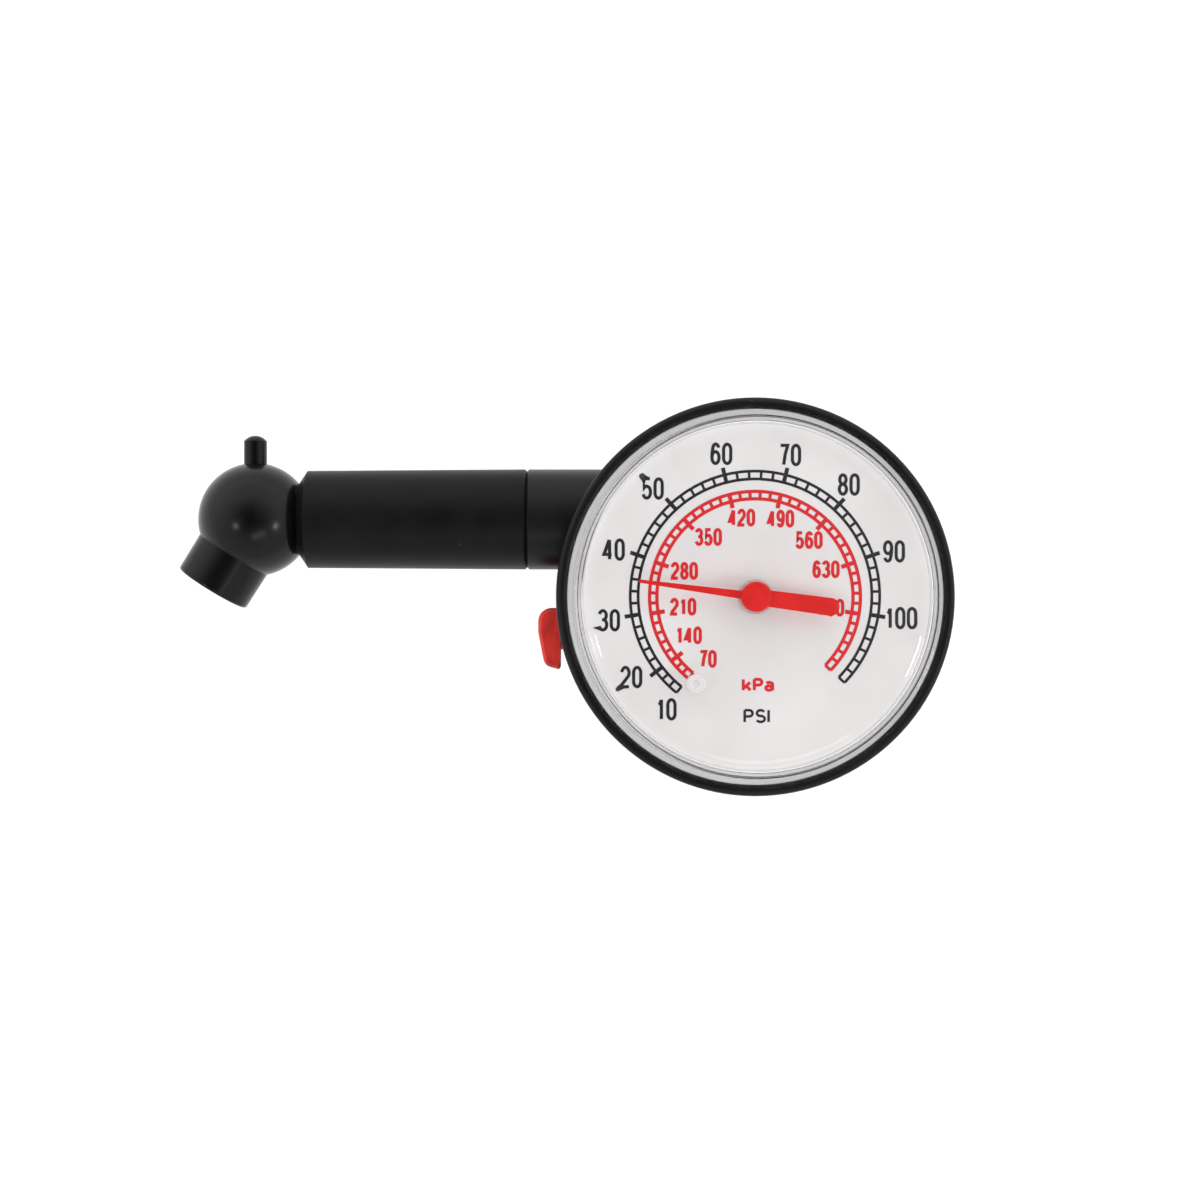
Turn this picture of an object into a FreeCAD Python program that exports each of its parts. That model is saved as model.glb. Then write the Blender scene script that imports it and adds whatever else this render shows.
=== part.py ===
import FreeCAD, Part
import math
import os
import re
import Sketcher

# A dial pressure gauge for tyre valves, in millimetres. It lies on its back: the origin is on the
# pointer's axis at the back face, +Z runs towards the dial, and the barrel runs out along -X.
# Words in quotes such as "caseRadius + 2" are expressions on the sheet of driving sizes.

doc = FreeCAD.newDocument("PressureGauge")
Vector = FreeCAD.Vector
Rotation = FreeCAD.Rotation

drivingSizes = {
    "case": {
        "caseRadius": 30, "caseFloor": 2.2, "caseWall": 2.8, "rimWall": 1.65, "rimRound": 0.8,
        "rimInnerRound": 0.6,
        "backRound": 1.6, "backDraft": 0.5, "bossRadius": 1.8, "flatGap": 0.3, "past": 1,
    },
    "stub and barrel": {
        "barrelLine": 12, "axisLevel": 9.3, "stubRadius": 7.75, "stubLength": 4.6, "stubStep": 1,
        "seamBevel": 0.3, "seamGap": 0.05, "barrelLength": 35.2, "barrelRadius": 7.52,
        "noseBevel": 1.3, "noseDrop": 1.9, "neckLand": 7.8,
    },
    "chuck": {
        "ballRadius": 8.75, "ballSink": 1.8, "neckRadius": 4,
        "neckPlay": 0.04, "neckBore": 1.5, "chuckGap": 0.2, "neckPast": 1.8, "nozzleLean": 32,
        "nozzleReach": 12.6, "nozzleMouth": 5.96, "nozzleRoot": 6.08, "nozzleRound": 0.45,
        "valveBore": 4.25, "valveDepth": 5, "landBore": 4, "landDepth": 0.4, "sealRadius": 5,
        "sealThick": 2, "sealHole": 1.7, "chamberRadius": 3.4, "chamberFoot": 1, "pinRadius": 0.8,
        "pinPlate": 1, "ventRadius": 0.7, "ventPlace": 2.1, "nibRadius": 1.77, "nibReach": 13,
        "nibDome": 2.2, "plateLift": 0.1, "pinShort": 0.3, "pinTaper": 0.25,
        "cordPlay": 0.1, "cordSkim": 0.01, "clipPlay": 0.05, "ringThick": 0.8, "ringPlay": 0.18,
        "ringSlot": 2.4, "neckGroove": 0.65, "neckCord": 1.5, "neckCordPlace": 2.6,
    },
    "pressure block": {
        "blockInset": 7, "blockWide": 7, "blockLow": 10, "blockHigh": 15.5, "blockTall": 9,
        "spigotRadius": 5, "spigotReach": 7.4, "spigotFit": 0.03, "spigotBevel": 0.4,
        "ductRadius": 1.5, "checkBore": 3.2, "checkLength": 12, "seatThick": 1.4, "seatHole": 1.2,
        "poppetRadius": 2.6, "poppetThick": 1.3, "stemRadius": 1.1, "stemPast": 3,
        "spigotGroove": 0.9, "spigotCord": 1.6, "spigotCordPlace": 1.2, "galleryRadius": 0.8,
        "galleryInset": 2.6, "blockScrewPlace": 5, "blockScrewHigh": 5.5, "blockScrewLow": 2,
        "blockScrew": 1, "blockScrewHead": 2, "threadDepth": 4, "sinkDepth": 1.1, "screwShort": 0.4,
        "seatSunk": 0.02, "blockBossRadius": 2.4,
    },
    "release valve": {
        "buttonLine": 6.45, "buttonThick": 3.4, "buttonInset": 0.55, "buttonTop": 1.7,
        "buttonLow": 11.14, "pocketEnd": 1.3, "buttonTall": 8, "buttonRound": 0.6, "buttonTravel": 1.5,
        "shankRadius": 1.7, "shankLength": 3.8, "shankPlay": 0.1, "guideGap": 1.6, "stemWire": 0.8,
        "releaseHole": 1.15, "releaseBore": 2.2, "releaseWall": 1.5, "headRadius": 1.7,
        "headThick": 0.7, "sealWasher": 0.6, "plugThick": 1.5, "lipRise": 0.3, "lipStep": 0.2,
        "faceEnd": 5.4, "chinBack": 0.98, "chinPlace": 10.52, "browRound": 2.05, "chinRound": 1.5,
        "edgePast": 0.1,
        "socketShort": 0.4, "stemShort": 0.5,
    },
    "springs": {
        "checkCoil": 1.9, "checkWire": 0.3, "checkPitch": 1.1, "releaseCoil": 1.35,
        "releaseWire": 0.22, "releasePitch": 0.8, "springGap": 0.05,
    },
    "tube": {
        "tubeInset": 7.4, "tubeThick": 2.4, "tubeTall": 7, "tubeWall": 0.3, "tubeRound": 1,
        "tubeAbove": 0.64, "tubeEnd": -100, "tipWall": 0.6, "tipCover": 3, "tipTail": 3,
        "pinAngle": -103, "pinInset": 3.2, "tubeFit": 0.03, "lugWall": 0.7,
    },
    "movement": {
        "footTall": 2.3, "gearModule": 0.25, "pinionTeeth": 12, "sectorTeeth": 96,
        "pressureAngle": 20, "sectorLine": 232, "gearLift": 2.5, "gearThick": 1, "pinionLift": 1.7,
        "pinionTall": 2.8, "backlash": 0.05, "tailReach": 5.2, "tailAngle": 238, "arborRadius": 0.8,
        "pivotRadius": 0.5, "pivotPlay": 0.03, "spindleRadius": 0.7, "plateSpace": 6.5,
        "plateThick": 1, "pillarRadius": 1.2, "pinRise": 2.2, "linkPin": 0.5, "linkPlay": 0.25,
        "linkEnd": 1.1, "linkThick": 0.7, "linkLift": 0.15, "linkWide": 1.5, "screwRadius": 0.6,
        "screwHead": 1.3, "headTall": 0.8, "screwDepth": 2.3, "hairLift": 5.3, "hairTall": 0.8,
        "hairWire": 0.14, "hairInner": 1.5, "hairOuter": 4.4, "hairTurns": 4.4, "studRadius": 0.55,
        "hubWall": 1.2, "tailWall": 0.5, "arborPlay": 0.1, "headLap": 0.1, "headLift": 0.1,
        "linkHead": 0.3, "holeSpare": 0.2, "endSpare": 0.1, "colletPast": 0.2,
    },
    "dial and pointer": {
        "dialClear": 0.15, "rimAbove": 2, "dialThick": 0.8, "dialPlay": 0.15, "dialHole": 1.1,
        "pegPlace": 15.85, "pegAngle": 235.4, "pegRadius": 1.42, "pegBore": 0.6, "pegAbove": 1.2,
        "pegStep": 0.4, "pegDeep": 2, "pegBevel": 0.25, "pointerLift": 2, "pointerThick": 0.6,
        "pointerTip": 17.8, "pointerTail": 12.55, "pointerRoot": 0.675, "pointerPoint": 0.15,
        "tailRoot": 1.05, "tailHalf": 1.25, "hubRadius": 2.25, "hubBevel": 0.3, "pointTaper": 0.3,
        "hubTall": 1.8, "hubDrop": 0.2, "pointerAngle": 172.3, "washerRadius": 2.6, "washerGap": 0.3,
        "spindleShort": 0.6,
    },
    "lens": {
        "lensFit": 0.05, "flangeThick": 1.5, "flangeWide": 1.05, "lensThick": 1.3, "lensTall": 8.5,
        "domeRise": 1.8, "lensRound": 3.8, "lensInnerRound": 1.3,
    },
}

# What follows from the driving sizes, in the same words.
derivedSizes = {
    "innerRadius": "caseRadius - caseWall",
    "rimBore": "caseRadius - rimWall",
    "seamPlace": "caseRadius + stubLength",
    "barrelEnd": "seamPlace + barrelLength",
    "barrelBore": "spigotRadius + spigotFit",
    "ringRadius": "barrelBore - ringPlay",
    "ballOut": "ballRadius - ballSink",
    "ballPlace": "barrelEnd + ballOut",
    "neckShoulder": "ballOut - chuckGap",
    "neckEnd": "ballOut + neckLand + neckPast",
    "cordStart": "ballOut + neckCordPlace",
    "ringStart": "ballOut + neckLand + chuckGap / 2",
    "sealFront": "nozzleReach - valveDepth - landDepth",
    "sealBack": "sealFront - sealThick",
    "blockLeft": "caseRadius - blockInset",
    "blockRight": "blockLeft - blockWide",
    "blockBase": "axisLevel - blockTall / 2",
    "galleryPlace": "blockLeft - galleryInset",
    "spigotEnd": "seamPlace + spigotReach",
    "spigotGrooveEnd": "spigotEnd - spigotCordPlace",
    "checkStart": "spigotEnd - checkLength",
    "seatPlace": "spigotEnd - seatThick",
    "poppetBack": "seatPlace - poppetThick",
    "blockScrewLine": "-blockLeft + blockScrewPlace",
    "buttonInner": "caseRadius - buttonInset",
    "buttonFace": "buttonInner + buttonThick",
    "shankEnd": "buttonInner - shankLength",
    "guideEnd": "blockLeft + guideGap",
    "releaseSeat": "blockLeft - releaseWall",
    "plungerHead": "releaseSeat - sealWasher",
    "tubeRadius": "caseRadius - tubeInset",
    "tubeInner": "tubeRadius - tubeThick / 2",
    "tubeOuter": "tubeRadius + tubeThick / 2",
    "tubeLow": "axisLevel - tubeTall / 2",
    "tubeHigh": "axisLevel + tubeTall / 2",
    "pinPlace": "tubeRadius - pinInset",
    "plateBack": "caseFloor + footTall",
    "plateTop": "plateBack + plateThick",
    "plateFront": "plateTop + plateSpace",
    "gearLevel": "plateBack + gearLift",
    "pinionBase": "plateBack + pinionLift",
    "hairLevel": "plateBack + hairLift",
    "linkLow": "gearLevel + gearThick + linkLift",
    "dialUnder": "axisLevel + stubRadius + dialClear",
    "dialLevel": "dialUnder + dialThick",
    "rimLevel": "dialLevel + rimAbove",
    "pointerLevel": "dialLevel + pointerLift",
    "hubLow": "pointerLevel - hubDrop",
    "hubTop": "pointerLevel + hubTall",
    "spindleTop": "hubTop - spindleShort",
    "pegTop": "pointerLevel + pegAbove",
    "lensRadius": "rimBore - flangeWide",
    "lensTop": "dialLevel + lensTall",
}

sheet = doc.addObject("Spreadsheet::Sheet", "dims")
row = 0
for group, sizes in drivingSizes.items():
    row += 1
    sheet.set("A%d" % row, group)
    for alias, size in sizes.items():
        row += 1
        sheet.set("A%d" % row, alias)
        sheet.set("B%d" % row, str(size))
        sheet.setAlias("B%d" % row, alias)
doc.recompute()

nodes = []


def onSheet(text):
    """An expression in the sizes' plain words, as the document wants it."""
    def cell(word):
        if word[0] in derivedSizes:
            return "(" + onSheet(derivedSizes[word[0]]) + ")"
        return "dims." + word[0]
    return re.sub(r"[A-Za-z]\w*", cell, text)


def value(text):
    return float(sheet.evalExpression(onSheet(text)))


def bind(thing, **sizes):
    for name, text in sizes.items():
        thing.setExpression(name, onSheet(text))
    return thing


def place(thing, x="0", y="0", z="0", turn=Rotation()):
    thing.Placement = FreeCAD.Placement(Vector(value(x), value(y), value(z)), turn)
    for axis, text in zip("xyz", (x, y, z)):
        thing.setExpression("Placement.Base." + axis, onSheet(text))
    return thing


def label(thing, name):
    """Marks an object as a finished sub-part, whose label names its file."""
    thing.Label = name
    nodes.append(thing)
    return thing


intoBarrel = Rotation(Vector(0, 1, 0), -90)
intoCase = Rotation(Vector(0, 1, 0), 90)
alongY = Rotation(Vector(1, 0, 0), -90)
nozzleTurn = Rotation(Vector(0, 0, 1), -value("nozzleLean")) * Rotation(Vector(1, 0, 0), 90)
onBarrel = {"y": "barrelLine", "z": "axisLevel"}
onRelease = {"y": "-buttonLine", "z": "axisLevel"}


def cylinder(name, radius, length, x="0", y="0", z="0", turn=Rotation()):
    rod = bind(doc.addObject("Part::Cylinder", name), Radius=radius, Height=length)
    return place(rod, x, y, z, turn)


def cone(name, first, last, length, x="0", y="0", z="0", turn=Rotation()):
    taper = bind(doc.addObject("Part::Cone", name), Radius1=first, Radius2=last, Height=length)
    return place(taper, x, y, z, turn)


def box(name, lengths, x="0", y="0", z="0"):
    block = bind(doc.addObject("Part::Box", name), Length=lengths[0], Width=lengths[1], Height=lengths[2])
    return place(block, x, y, z)


def ball(name, radius, x="0", y="0", z="0"):
    return place(bind(doc.addObject("Part::Sphere", name), Radius=radius), x, y, z)


def fuse(name, pieces):
    joined = doc.addObject("Part::MultiFuse", name)
    joined.Shapes = pieces
    joined.Refine = True
    return joined


def cut(name, base, tools):
    rest = doc.addObject("Part::Cut", name)
    rest.Base = base
    rest.Tool = tools[0] if len(tools) == 1 else fuse(name + "Tools", tools)
    return rest


def common(name, first, second):
    shared = doc.addObject("Part::Common", name)
    shared.Base = first
    shared.Tool = second
    return shared


def outline(body, role, name, corners):
    """A closed sketch whose corners are tied to the sheet."""
    sketch = body.newObject("Sketcher::SketchObject", name)
    plane = [item for item in body.Origin.OriginFeatures if item.Role == role][0]
    sketch.AttachmentSupport = (plane, [""])
    sketch.MapMode = "FlatFace"
    spots = [Vector(value(x), value(y), 0) for x, y in corners]
    count = len(spots)
    for index in range(count):
        sketch.addGeometry(Part.LineSegment(spots[index], spots[(index + 1) % count]))
    for index in range(count):
        sketch.addConstraint(Sketcher.Constraint("Coincident", index, 2, (index + 1) % count, 1))
    for index, (x, y) in enumerate(corners):
        across = sketch.addConstraint(Sketcher.Constraint("DistanceX", -1, 1, index, 1, spots[index].x))
        sketch.setExpression("Constraints[%d]" % across, onSheet(x))
        upward = sketch.addConstraint(Sketcher.Constraint("DistanceY", -1, 1, index, 1, spots[index].y))
        sketch.setExpression("Constraints[%d]" % upward, onSheet(y))
    return sketch


def turned(name, corners, x="0", y="0", z="0", turn=Rotation(), angle=360):
    """A body turned on its own Z axis: each corner is a radius and a height."""
    body = doc.addObject("PartDesign::Body", name)
    sketch = outline(body, "XZ_Plane", name + "Profile", corners)
    spin = body.newObject("PartDesign::Revolution", name + "Turn")
    spin.Profile = sketch
    spin.ReferenceAxis = (sketch, ["V_Axis"])
    spin.Angle = angle
    return place(body, x, y, z, turn)


def padded(name, corners, thick, x="0", y="0", z="0", turn=Rotation()):
    """A body cut from plate: each corner is an x and a y."""
    body = doc.addObject("PartDesign::Body", name)
    pad = body.newObject("PartDesign::Pad", name + "Pad")
    pad.Profile = outline(body, "XY_Plane", name + "Outline", corners)
    pad.setExpression("Length", onSheet(thick))
    return place(body, x, y, z, turn)


def ring(inner, outer, low, high):
    return [(inner, low), (outer, low), (outer, high), (inner, high)]


def rounded(name, base, radius, wanted):
    """Rounds the edges of a solid that a test picks out."""
    doc.recompute()
    edges = [number for number, edge in enumerate(base.Shape.Edges, 1) if wanted(edge)]
    soft = doc.addObject("Part::Fillet", name)
    soft.Base = base
    soft.Edges = [(number, value(radius), value(radius)) for number in edges]
    return soft


def isRing(edge):
    """True for a circular edge that lies level."""
    return not edge.Degenerated and isinstance(edge.Curve, Part.Circle) and edge.BoundBox.ZLength < 0.001


def ringAt(radius, level):
    """A test for a level circular edge of one radius at one height."""
    def test(edge):
        middle = edge.BoundBox.Center
        if not isRing(edge):
            return False
        return abs(edge.Curve.Radius - value(radius)) < 0.001 and abs(middle.z - value(level)) < 0.001
    return test


def uprightAt(x, y):
    """A test for a straight edge that stands upright at one place."""
    def test(edge):
        middle = edge.BoundBox.Center
        if edge.BoundBox.XLength > 0.001 or edge.BoundBox.YLength > 0.001:
            return False
        return abs(middle.x - value(x)) < 0.001 and abs(middle.y - value(y)) < 0.001
    return test


def spring(name, coil, wire, pitch, length, x, y, z, turn):
    """A round wire swept along a helix."""
    spine = bind(doc.addObject("Part::Helix", name + "Line"), Radius=coil, Pitch=pitch, Height=length)
    place(spine, x, y, z, turn)
    section = bind(doc.addObject("Part::Circle", name + "Wire"), Radius=wire)
    section.Placement = spine.Placement * FreeCAD.Placement(Vector(value(coil), 0, 0),
                                                            Rotation(Vector(1, 0, 0), 90))
    doc.recompute()
    swept = doc.addObject("Part::Sweep", name)
    swept.Sections = [section]
    swept.Spine = (spine, ["Edge%d" % number for number in range(1, len(spine.Shape.Edges) + 1)])
    swept.Solid = True
    swept.Frenet = True
    return swept


def fromCode(name, shape):
    """A piece whose outline follows a formula."""
    piece = doc.addObject("Part::Feature", name)
    piece.Shape = shape
    return piece


def around(radius, degrees, centre=Vector()):
    angle = math.radians(degrees)
    return centre + Vector(radius * math.cos(angle), radius * math.sin(angle), 0)


# Places that follow from the driving sizes, on the level of the dial.
centreDistance = value("gearModule * (pinionTeeth + sectorTeeth) / 2")
sectorCentre = around(centreDistance, value("sectorLine"))
tailSpot = around(value("tailReach"), value("tailAngle"), sectorCentre)
tipSpot = around(value("pinPlace"), value("pinAngle"))
pegSpot = around(value("pegPlace"), value("pegAngle"))
tubeStart = 180 - math.degrees(math.asin(value("(barrelLine + tubeAbove) / tubeRadius")))
tubeTurn = Rotation(Vector(0, 0, 1), value("tubeEnd"))
tubeSweep = tubeStart - value("tubeEnd")
pillarSpots = [("-7.5", "5"), ("6.5", "-4.5"), ("-13.4", "-5.6")]
screwSpots = [("-1.6", "5.6"), ("3.6", "-7.6"), ("-13.2", "-9.6")]
blockScrewSpots = [("blockScrewLine", "blockScrewHigh"), ("blockScrewLine", "-blockScrewLow")]


def spot(point):
    """A point in words, for a placement."""
    return {"x": "%f" % point.x, "y": "%f" % point.y}


def makeCase():
    shell = turned("caseShell", [
        ("0", "0"), ("caseRadius - backDraft", "0"), ("caseRadius", "dialLevel"),
        ("caseRadius", "rimLevel"), ("rimBore", "rimLevel"), ("rimBore", "dialUnder"),
        ("innerRadius", "dialUnder"), ("innerRadius", "caseFloor"), ("0", "caseFloor"),
    ])
    softBack = rounded("caseBack", shell, "backRound", ringAt("caseRadius - backDraft", "0"))
    outerRim = rounded("caseRimOuter", softBack, "rimRound", ringAt("caseRadius", "rimLevel"))
    softRim = rounded("caseRim", outerRim, "rimInnerRound", ringAt("rimBore", "rimLevel"))
    stubWhole = turned("stubWhole", [
        ("0", "blockRight"), ("stubRadius", "blockRight"), ("stubRadius", "seamPlace - seamBevel"),
        ("stubRadius - seamBevel", "seamPlace"), ("0", "seamPlace"),
    ], turn=intoBarrel, **onBarrel)
    stubTrim = cylinder("stubTrim", "innerRadius", "dialUnder", z="caseFloor")
    stub = cut("stub", stubWhole, [stubTrim])
    spigotBoss = cylinder("spigotBoss", "stubRadius - stubStep", "caseRadius - blockLeft", "-blockLeft",
                          turn=intoBarrel, **onBarrel)
    guideSize = ("caseRadius - guideEnd", "buttonLow + pocketEnd", "dialUnder - caseFloor")
    guide = box("buttonGuide", guideSize, "-caseRadius", "-buttonLow - pocketEnd", "caseFloor")
    guideLimit = cylinder("guideLimit", "caseRadius - backRound", "dialUnder")
    guideIn = common("buttonGuideIn", guide, guideLimit)
    bosses = [cylinder("boss%d" % number, "bossRadius", "footTall", x, y, "caseFloor")
              for number, (x, y) in enumerate(screwSpots)]
    blockBosses = [cylinder("blockBoss%d" % number, "blockBossRadius", "blockBase - caseFloor", x, y,
                            "caseFloor")
                   for number, (x, y) in enumerate(blockScrewSpots)]
    body = fuse("caseBody", [softRim, stub, spigotBoss, guideIn] + bosses + blockBosses)
    pocketSize = ("buttonInset + buttonTravel + flatGap + past", "buttonLow + pocketEnd - buttonTop / 2",
                  "buttonTall + 2 * flatGap")
    pocket = box("buttonPocket", pocketSize, "-caseRadius - past", "-buttonLow - pocketEnd",
                 "axisLevel - buttonTall / 2 - flatGap")
    shankHole = cylinder("shankHole", "shankRadius + shankPlay", "caseRadius", "-caseRadius",
                         turn=intoCase, **onRelease)
    ductHole = cylinder("spigotHole", "barrelBore", "seamPlace", "-blockLeft + past", turn=intoBarrel,
                        **onBarrel)
    pilots = [cylinder("pilot%d" % number, "screwRadius", "plateBack", x, y, "caseFloor / 2")
              for number, (x, y) in enumerate(screwSpots)]
    backHoles = []
    for number, (x, y) in enumerate(blockScrewSpots):
        backHoles.append(cylinder("backHole%d" % number, "blockScrew + shankPlay", "blockBase", x, y))
        backHoles.append(cylinder("backSink%d" % number, "blockScrewHead + shankPlay", "sinkDepth", x, y))
    label(cut("caseWhole", body, [pocket, shankHole, ductHole] + pilots + backHoles), "case")


def makeBarrel():
    label(turned("barrelTube", [
        ("barrelBore", "seamPlace + seamGap"), ("stubRadius - seamBevel", "seamPlace + seamGap"),
        ("stubRadius", "seamPlace + seamGap + seamBevel"), ("barrelRadius", "barrelEnd - noseBevel"),
        ("barrelRadius - noseDrop", "barrelEnd"), ("neckRadius + neckPlay", "barrelEnd"),
        ("neckRadius + neckPlay", "barrelEnd - neckLand"), ("barrelBore", "barrelEnd - neckLand"),
    ], turn=intoBarrel, **onBarrel), "barrel")


def makeBlock():
    blankSize = ("blockWide", "blockLow + blockHigh", "blockTall")
    blank = box("blockBox", blankSize, "-blockLeft", "-blockLow", "blockBase")
    room = cylinder("blockRoom", "innerRadius - flatGap", "dialUnder")
    trimmed = common("blockTrimmed", blank, room)
    floor = "spigotRadius - spigotGroove"
    spigot = turned("spigot", [
        ("0", "blockLeft - past"), ("spigotRadius", "blockLeft - past"),
        ("spigotRadius", "spigotGrooveEnd - spigotCord"), (floor, "spigotGrooveEnd - spigotCord"),
        (floor, "spigotGrooveEnd"), ("spigotRadius", "spigotGrooveEnd"),
        ("spigotRadius", "spigotEnd - spigotBevel"), ("spigotRadius - spigotBevel", "spigotEnd"),
        ("0", "spigotEnd"),
    ], turn=intoBarrel, **onBarrel)
    ductStart = "blockRight + galleryInset"
    duct = cylinder("duct", "ductRadius", "spigotEnd", "-" + ductStart.replace("+", "-"), turn=intoBarrel,
                    **onBarrel)
    checkRoom = cylinder("checkRoom", "checkBore", "spigotEnd", "-checkStart", turn=intoBarrel, **onBarrel)
    gallery = cylinder("gallery", "galleryRadius", "barrelLine + buttonLine", "-galleryPlace",
                       "-buttonLine", "axisLevel", alongY)
    releaseRoom = cylinder("releaseRoom", "releaseBore", "releaseSeat", "-releaseSeat", turn=intoCase,
                           **onRelease)
    releaseWay = cylinder("releaseWay", "releaseHole", "blockLeft", "-blockLeft - past", turn=intoCase,
                          **onRelease)
    socketWalls = ring("tubeInner - tubeFit", "tubeOuter + tubeFit", "tubeLow - tubeFit",
                       "tubeHigh + tubeFit")
    socket = turned("tubeSocket", socketWalls, turn=tubeTurn, angle=tubeSweep)
    threads = [cylinder("blockThread%d" % number, "blockScrew", "threadDepth", x, y, "blockBase")
               for number, (x, y) in enumerate(blockScrewSpots)]
    body = fuse("blockBody", [trimmed, spigot])
    ways = [duct, checkRoom, gallery, releaseRoom, releaseWay, socket]
    label(cut("blockWhole", body, ways + threads), "pressure_block")
    cord = ring(floor, "barrelBore", "spigotGrooveEnd - spigotCord + cordPlay",
                "spigotGrooveEnd - cordPlay")
    label(turned("spigotSeal", cord, turn=intoBarrel, **onBarrel), "barrel_o_ring")
    end = "blockBase + threadDepth - screwShort"
    for number, (x, y) in enumerate(blockScrewSpots):
        label(turned("blockScrew%d" % number, [
            ("0", "flatGap"), ("blockScrewHead", "flatGap"), ("blockScrewHead", "sinkDepth"),
            ("blockScrew", "sinkDepth"), ("blockScrew", end), ("0", end),
        ], x, y), "block_screw_%d" % (number + 1))


def makeCheckValve():
    walls = ring("seatHole", "checkBore", "seatPlace", "spigotEnd - seatSunk")
    label(turned("seatRing", walls, turn=intoBarrel, **onBarrel), "check_seat")
    label(turned("poppetBody", [
        ("0", "checkStart - stemPast"), ("stemRadius", "checkStart - stemPast"),
        ("stemRadius", "poppetBack"), ("poppetRadius", "poppetBack"), ("poppetRadius", "seatPlace"),
        ("0", "seatPlace"),
    ], turn=intoBarrel, **onBarrel), "check_poppet")
    length = "poppetBack - checkStart - 2 * checkWire - 2 * springGap"
    label(spring("checkCoilBody", "checkCoil", "checkWire", "checkPitch", length,
                 "-checkStart - checkWire - springGap", "barrelLine", "axisLevel", intoBarrel),
          "check_spring")


def makeReleaseValve():
    cap = padded("buttonCap", [
        ("-buttonInner", "-buttonTop"), ("-buttonInner", "-buttonLow + lipRise"),
        ("-buttonInner - lipStep", "-buttonLow"), ("-buttonFace + chinBack", "-chinPlace"),
        ("-buttonFace", "-faceEnd"), ("-buttonFace", "-buttonTop"),
    ], "buttonTall", z="axisLevel - buttonTall / 2")
    browSoft = rounded("buttonBrow", cap, "browRound", uprightAt("-buttonFace", "-buttonTop"))
    chin = uprightAt("-buttonFace + chinBack", "-chinPlace")
    chinSoft = rounded("buttonChin", browSoft, "chinRound", chin)

    def outerEdge(edge):
        return edge.BoundBox.ZLength < 0.001 and edge.BoundBox.XMin < -value("buttonInner + edgePast")

    softCap = rounded("buttonSoft", chinSoft, "buttonRound", outerEdge)
    shank = cylinder("buttonShank", "shankRadius", "shankLength + past", "-shankEnd", turn=intoBarrel,
                     **onRelease)
    socket = cylinder("buttonSocket", "stemWire", "shankLength - socketShort", "-shankEnd", turn=intoBarrel,
                      **onRelease)
    label(cut("buttonWhole", fuse("buttonBody", [softCap, shank]), [socket]), "release_button")
    label(turned("plungerBody", [
        ("0", "plungerHead - headThick"), ("headRadius", "plungerHead - headThick"),
        ("headRadius", "plungerHead"), ("stemWire", "plungerHead"), ("stemWire", "buttonInner - stemShort"),
        ("0", "buttonInner - stemShort"),
    ], turn=intoBarrel, **onRelease), "release_plunger")
    washer = ring("stemWire", "headRadius", "plungerHead", "releaseSeat")
    label(turned("washer", washer, turn=intoBarrel, **onRelease), "release_seal")
    plug = cylinder("plug", "releaseBore", "plugThick", "-blockRight", turn=intoBarrel, **onRelease)
    label(plug, "release_plug")
    length = "plungerHead - headThick - blockRight - plugThick - 2 * releaseWire - 2 * springGap"
    label(spring("releaseCoilBody", "releaseCoil", "releaseWire", "releasePitch", length,
                 "-blockRight - plugThick - releaseWire - springGap", "-buttonLine", "axisLevel",
                 intoBarrel), "release_spring")


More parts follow.
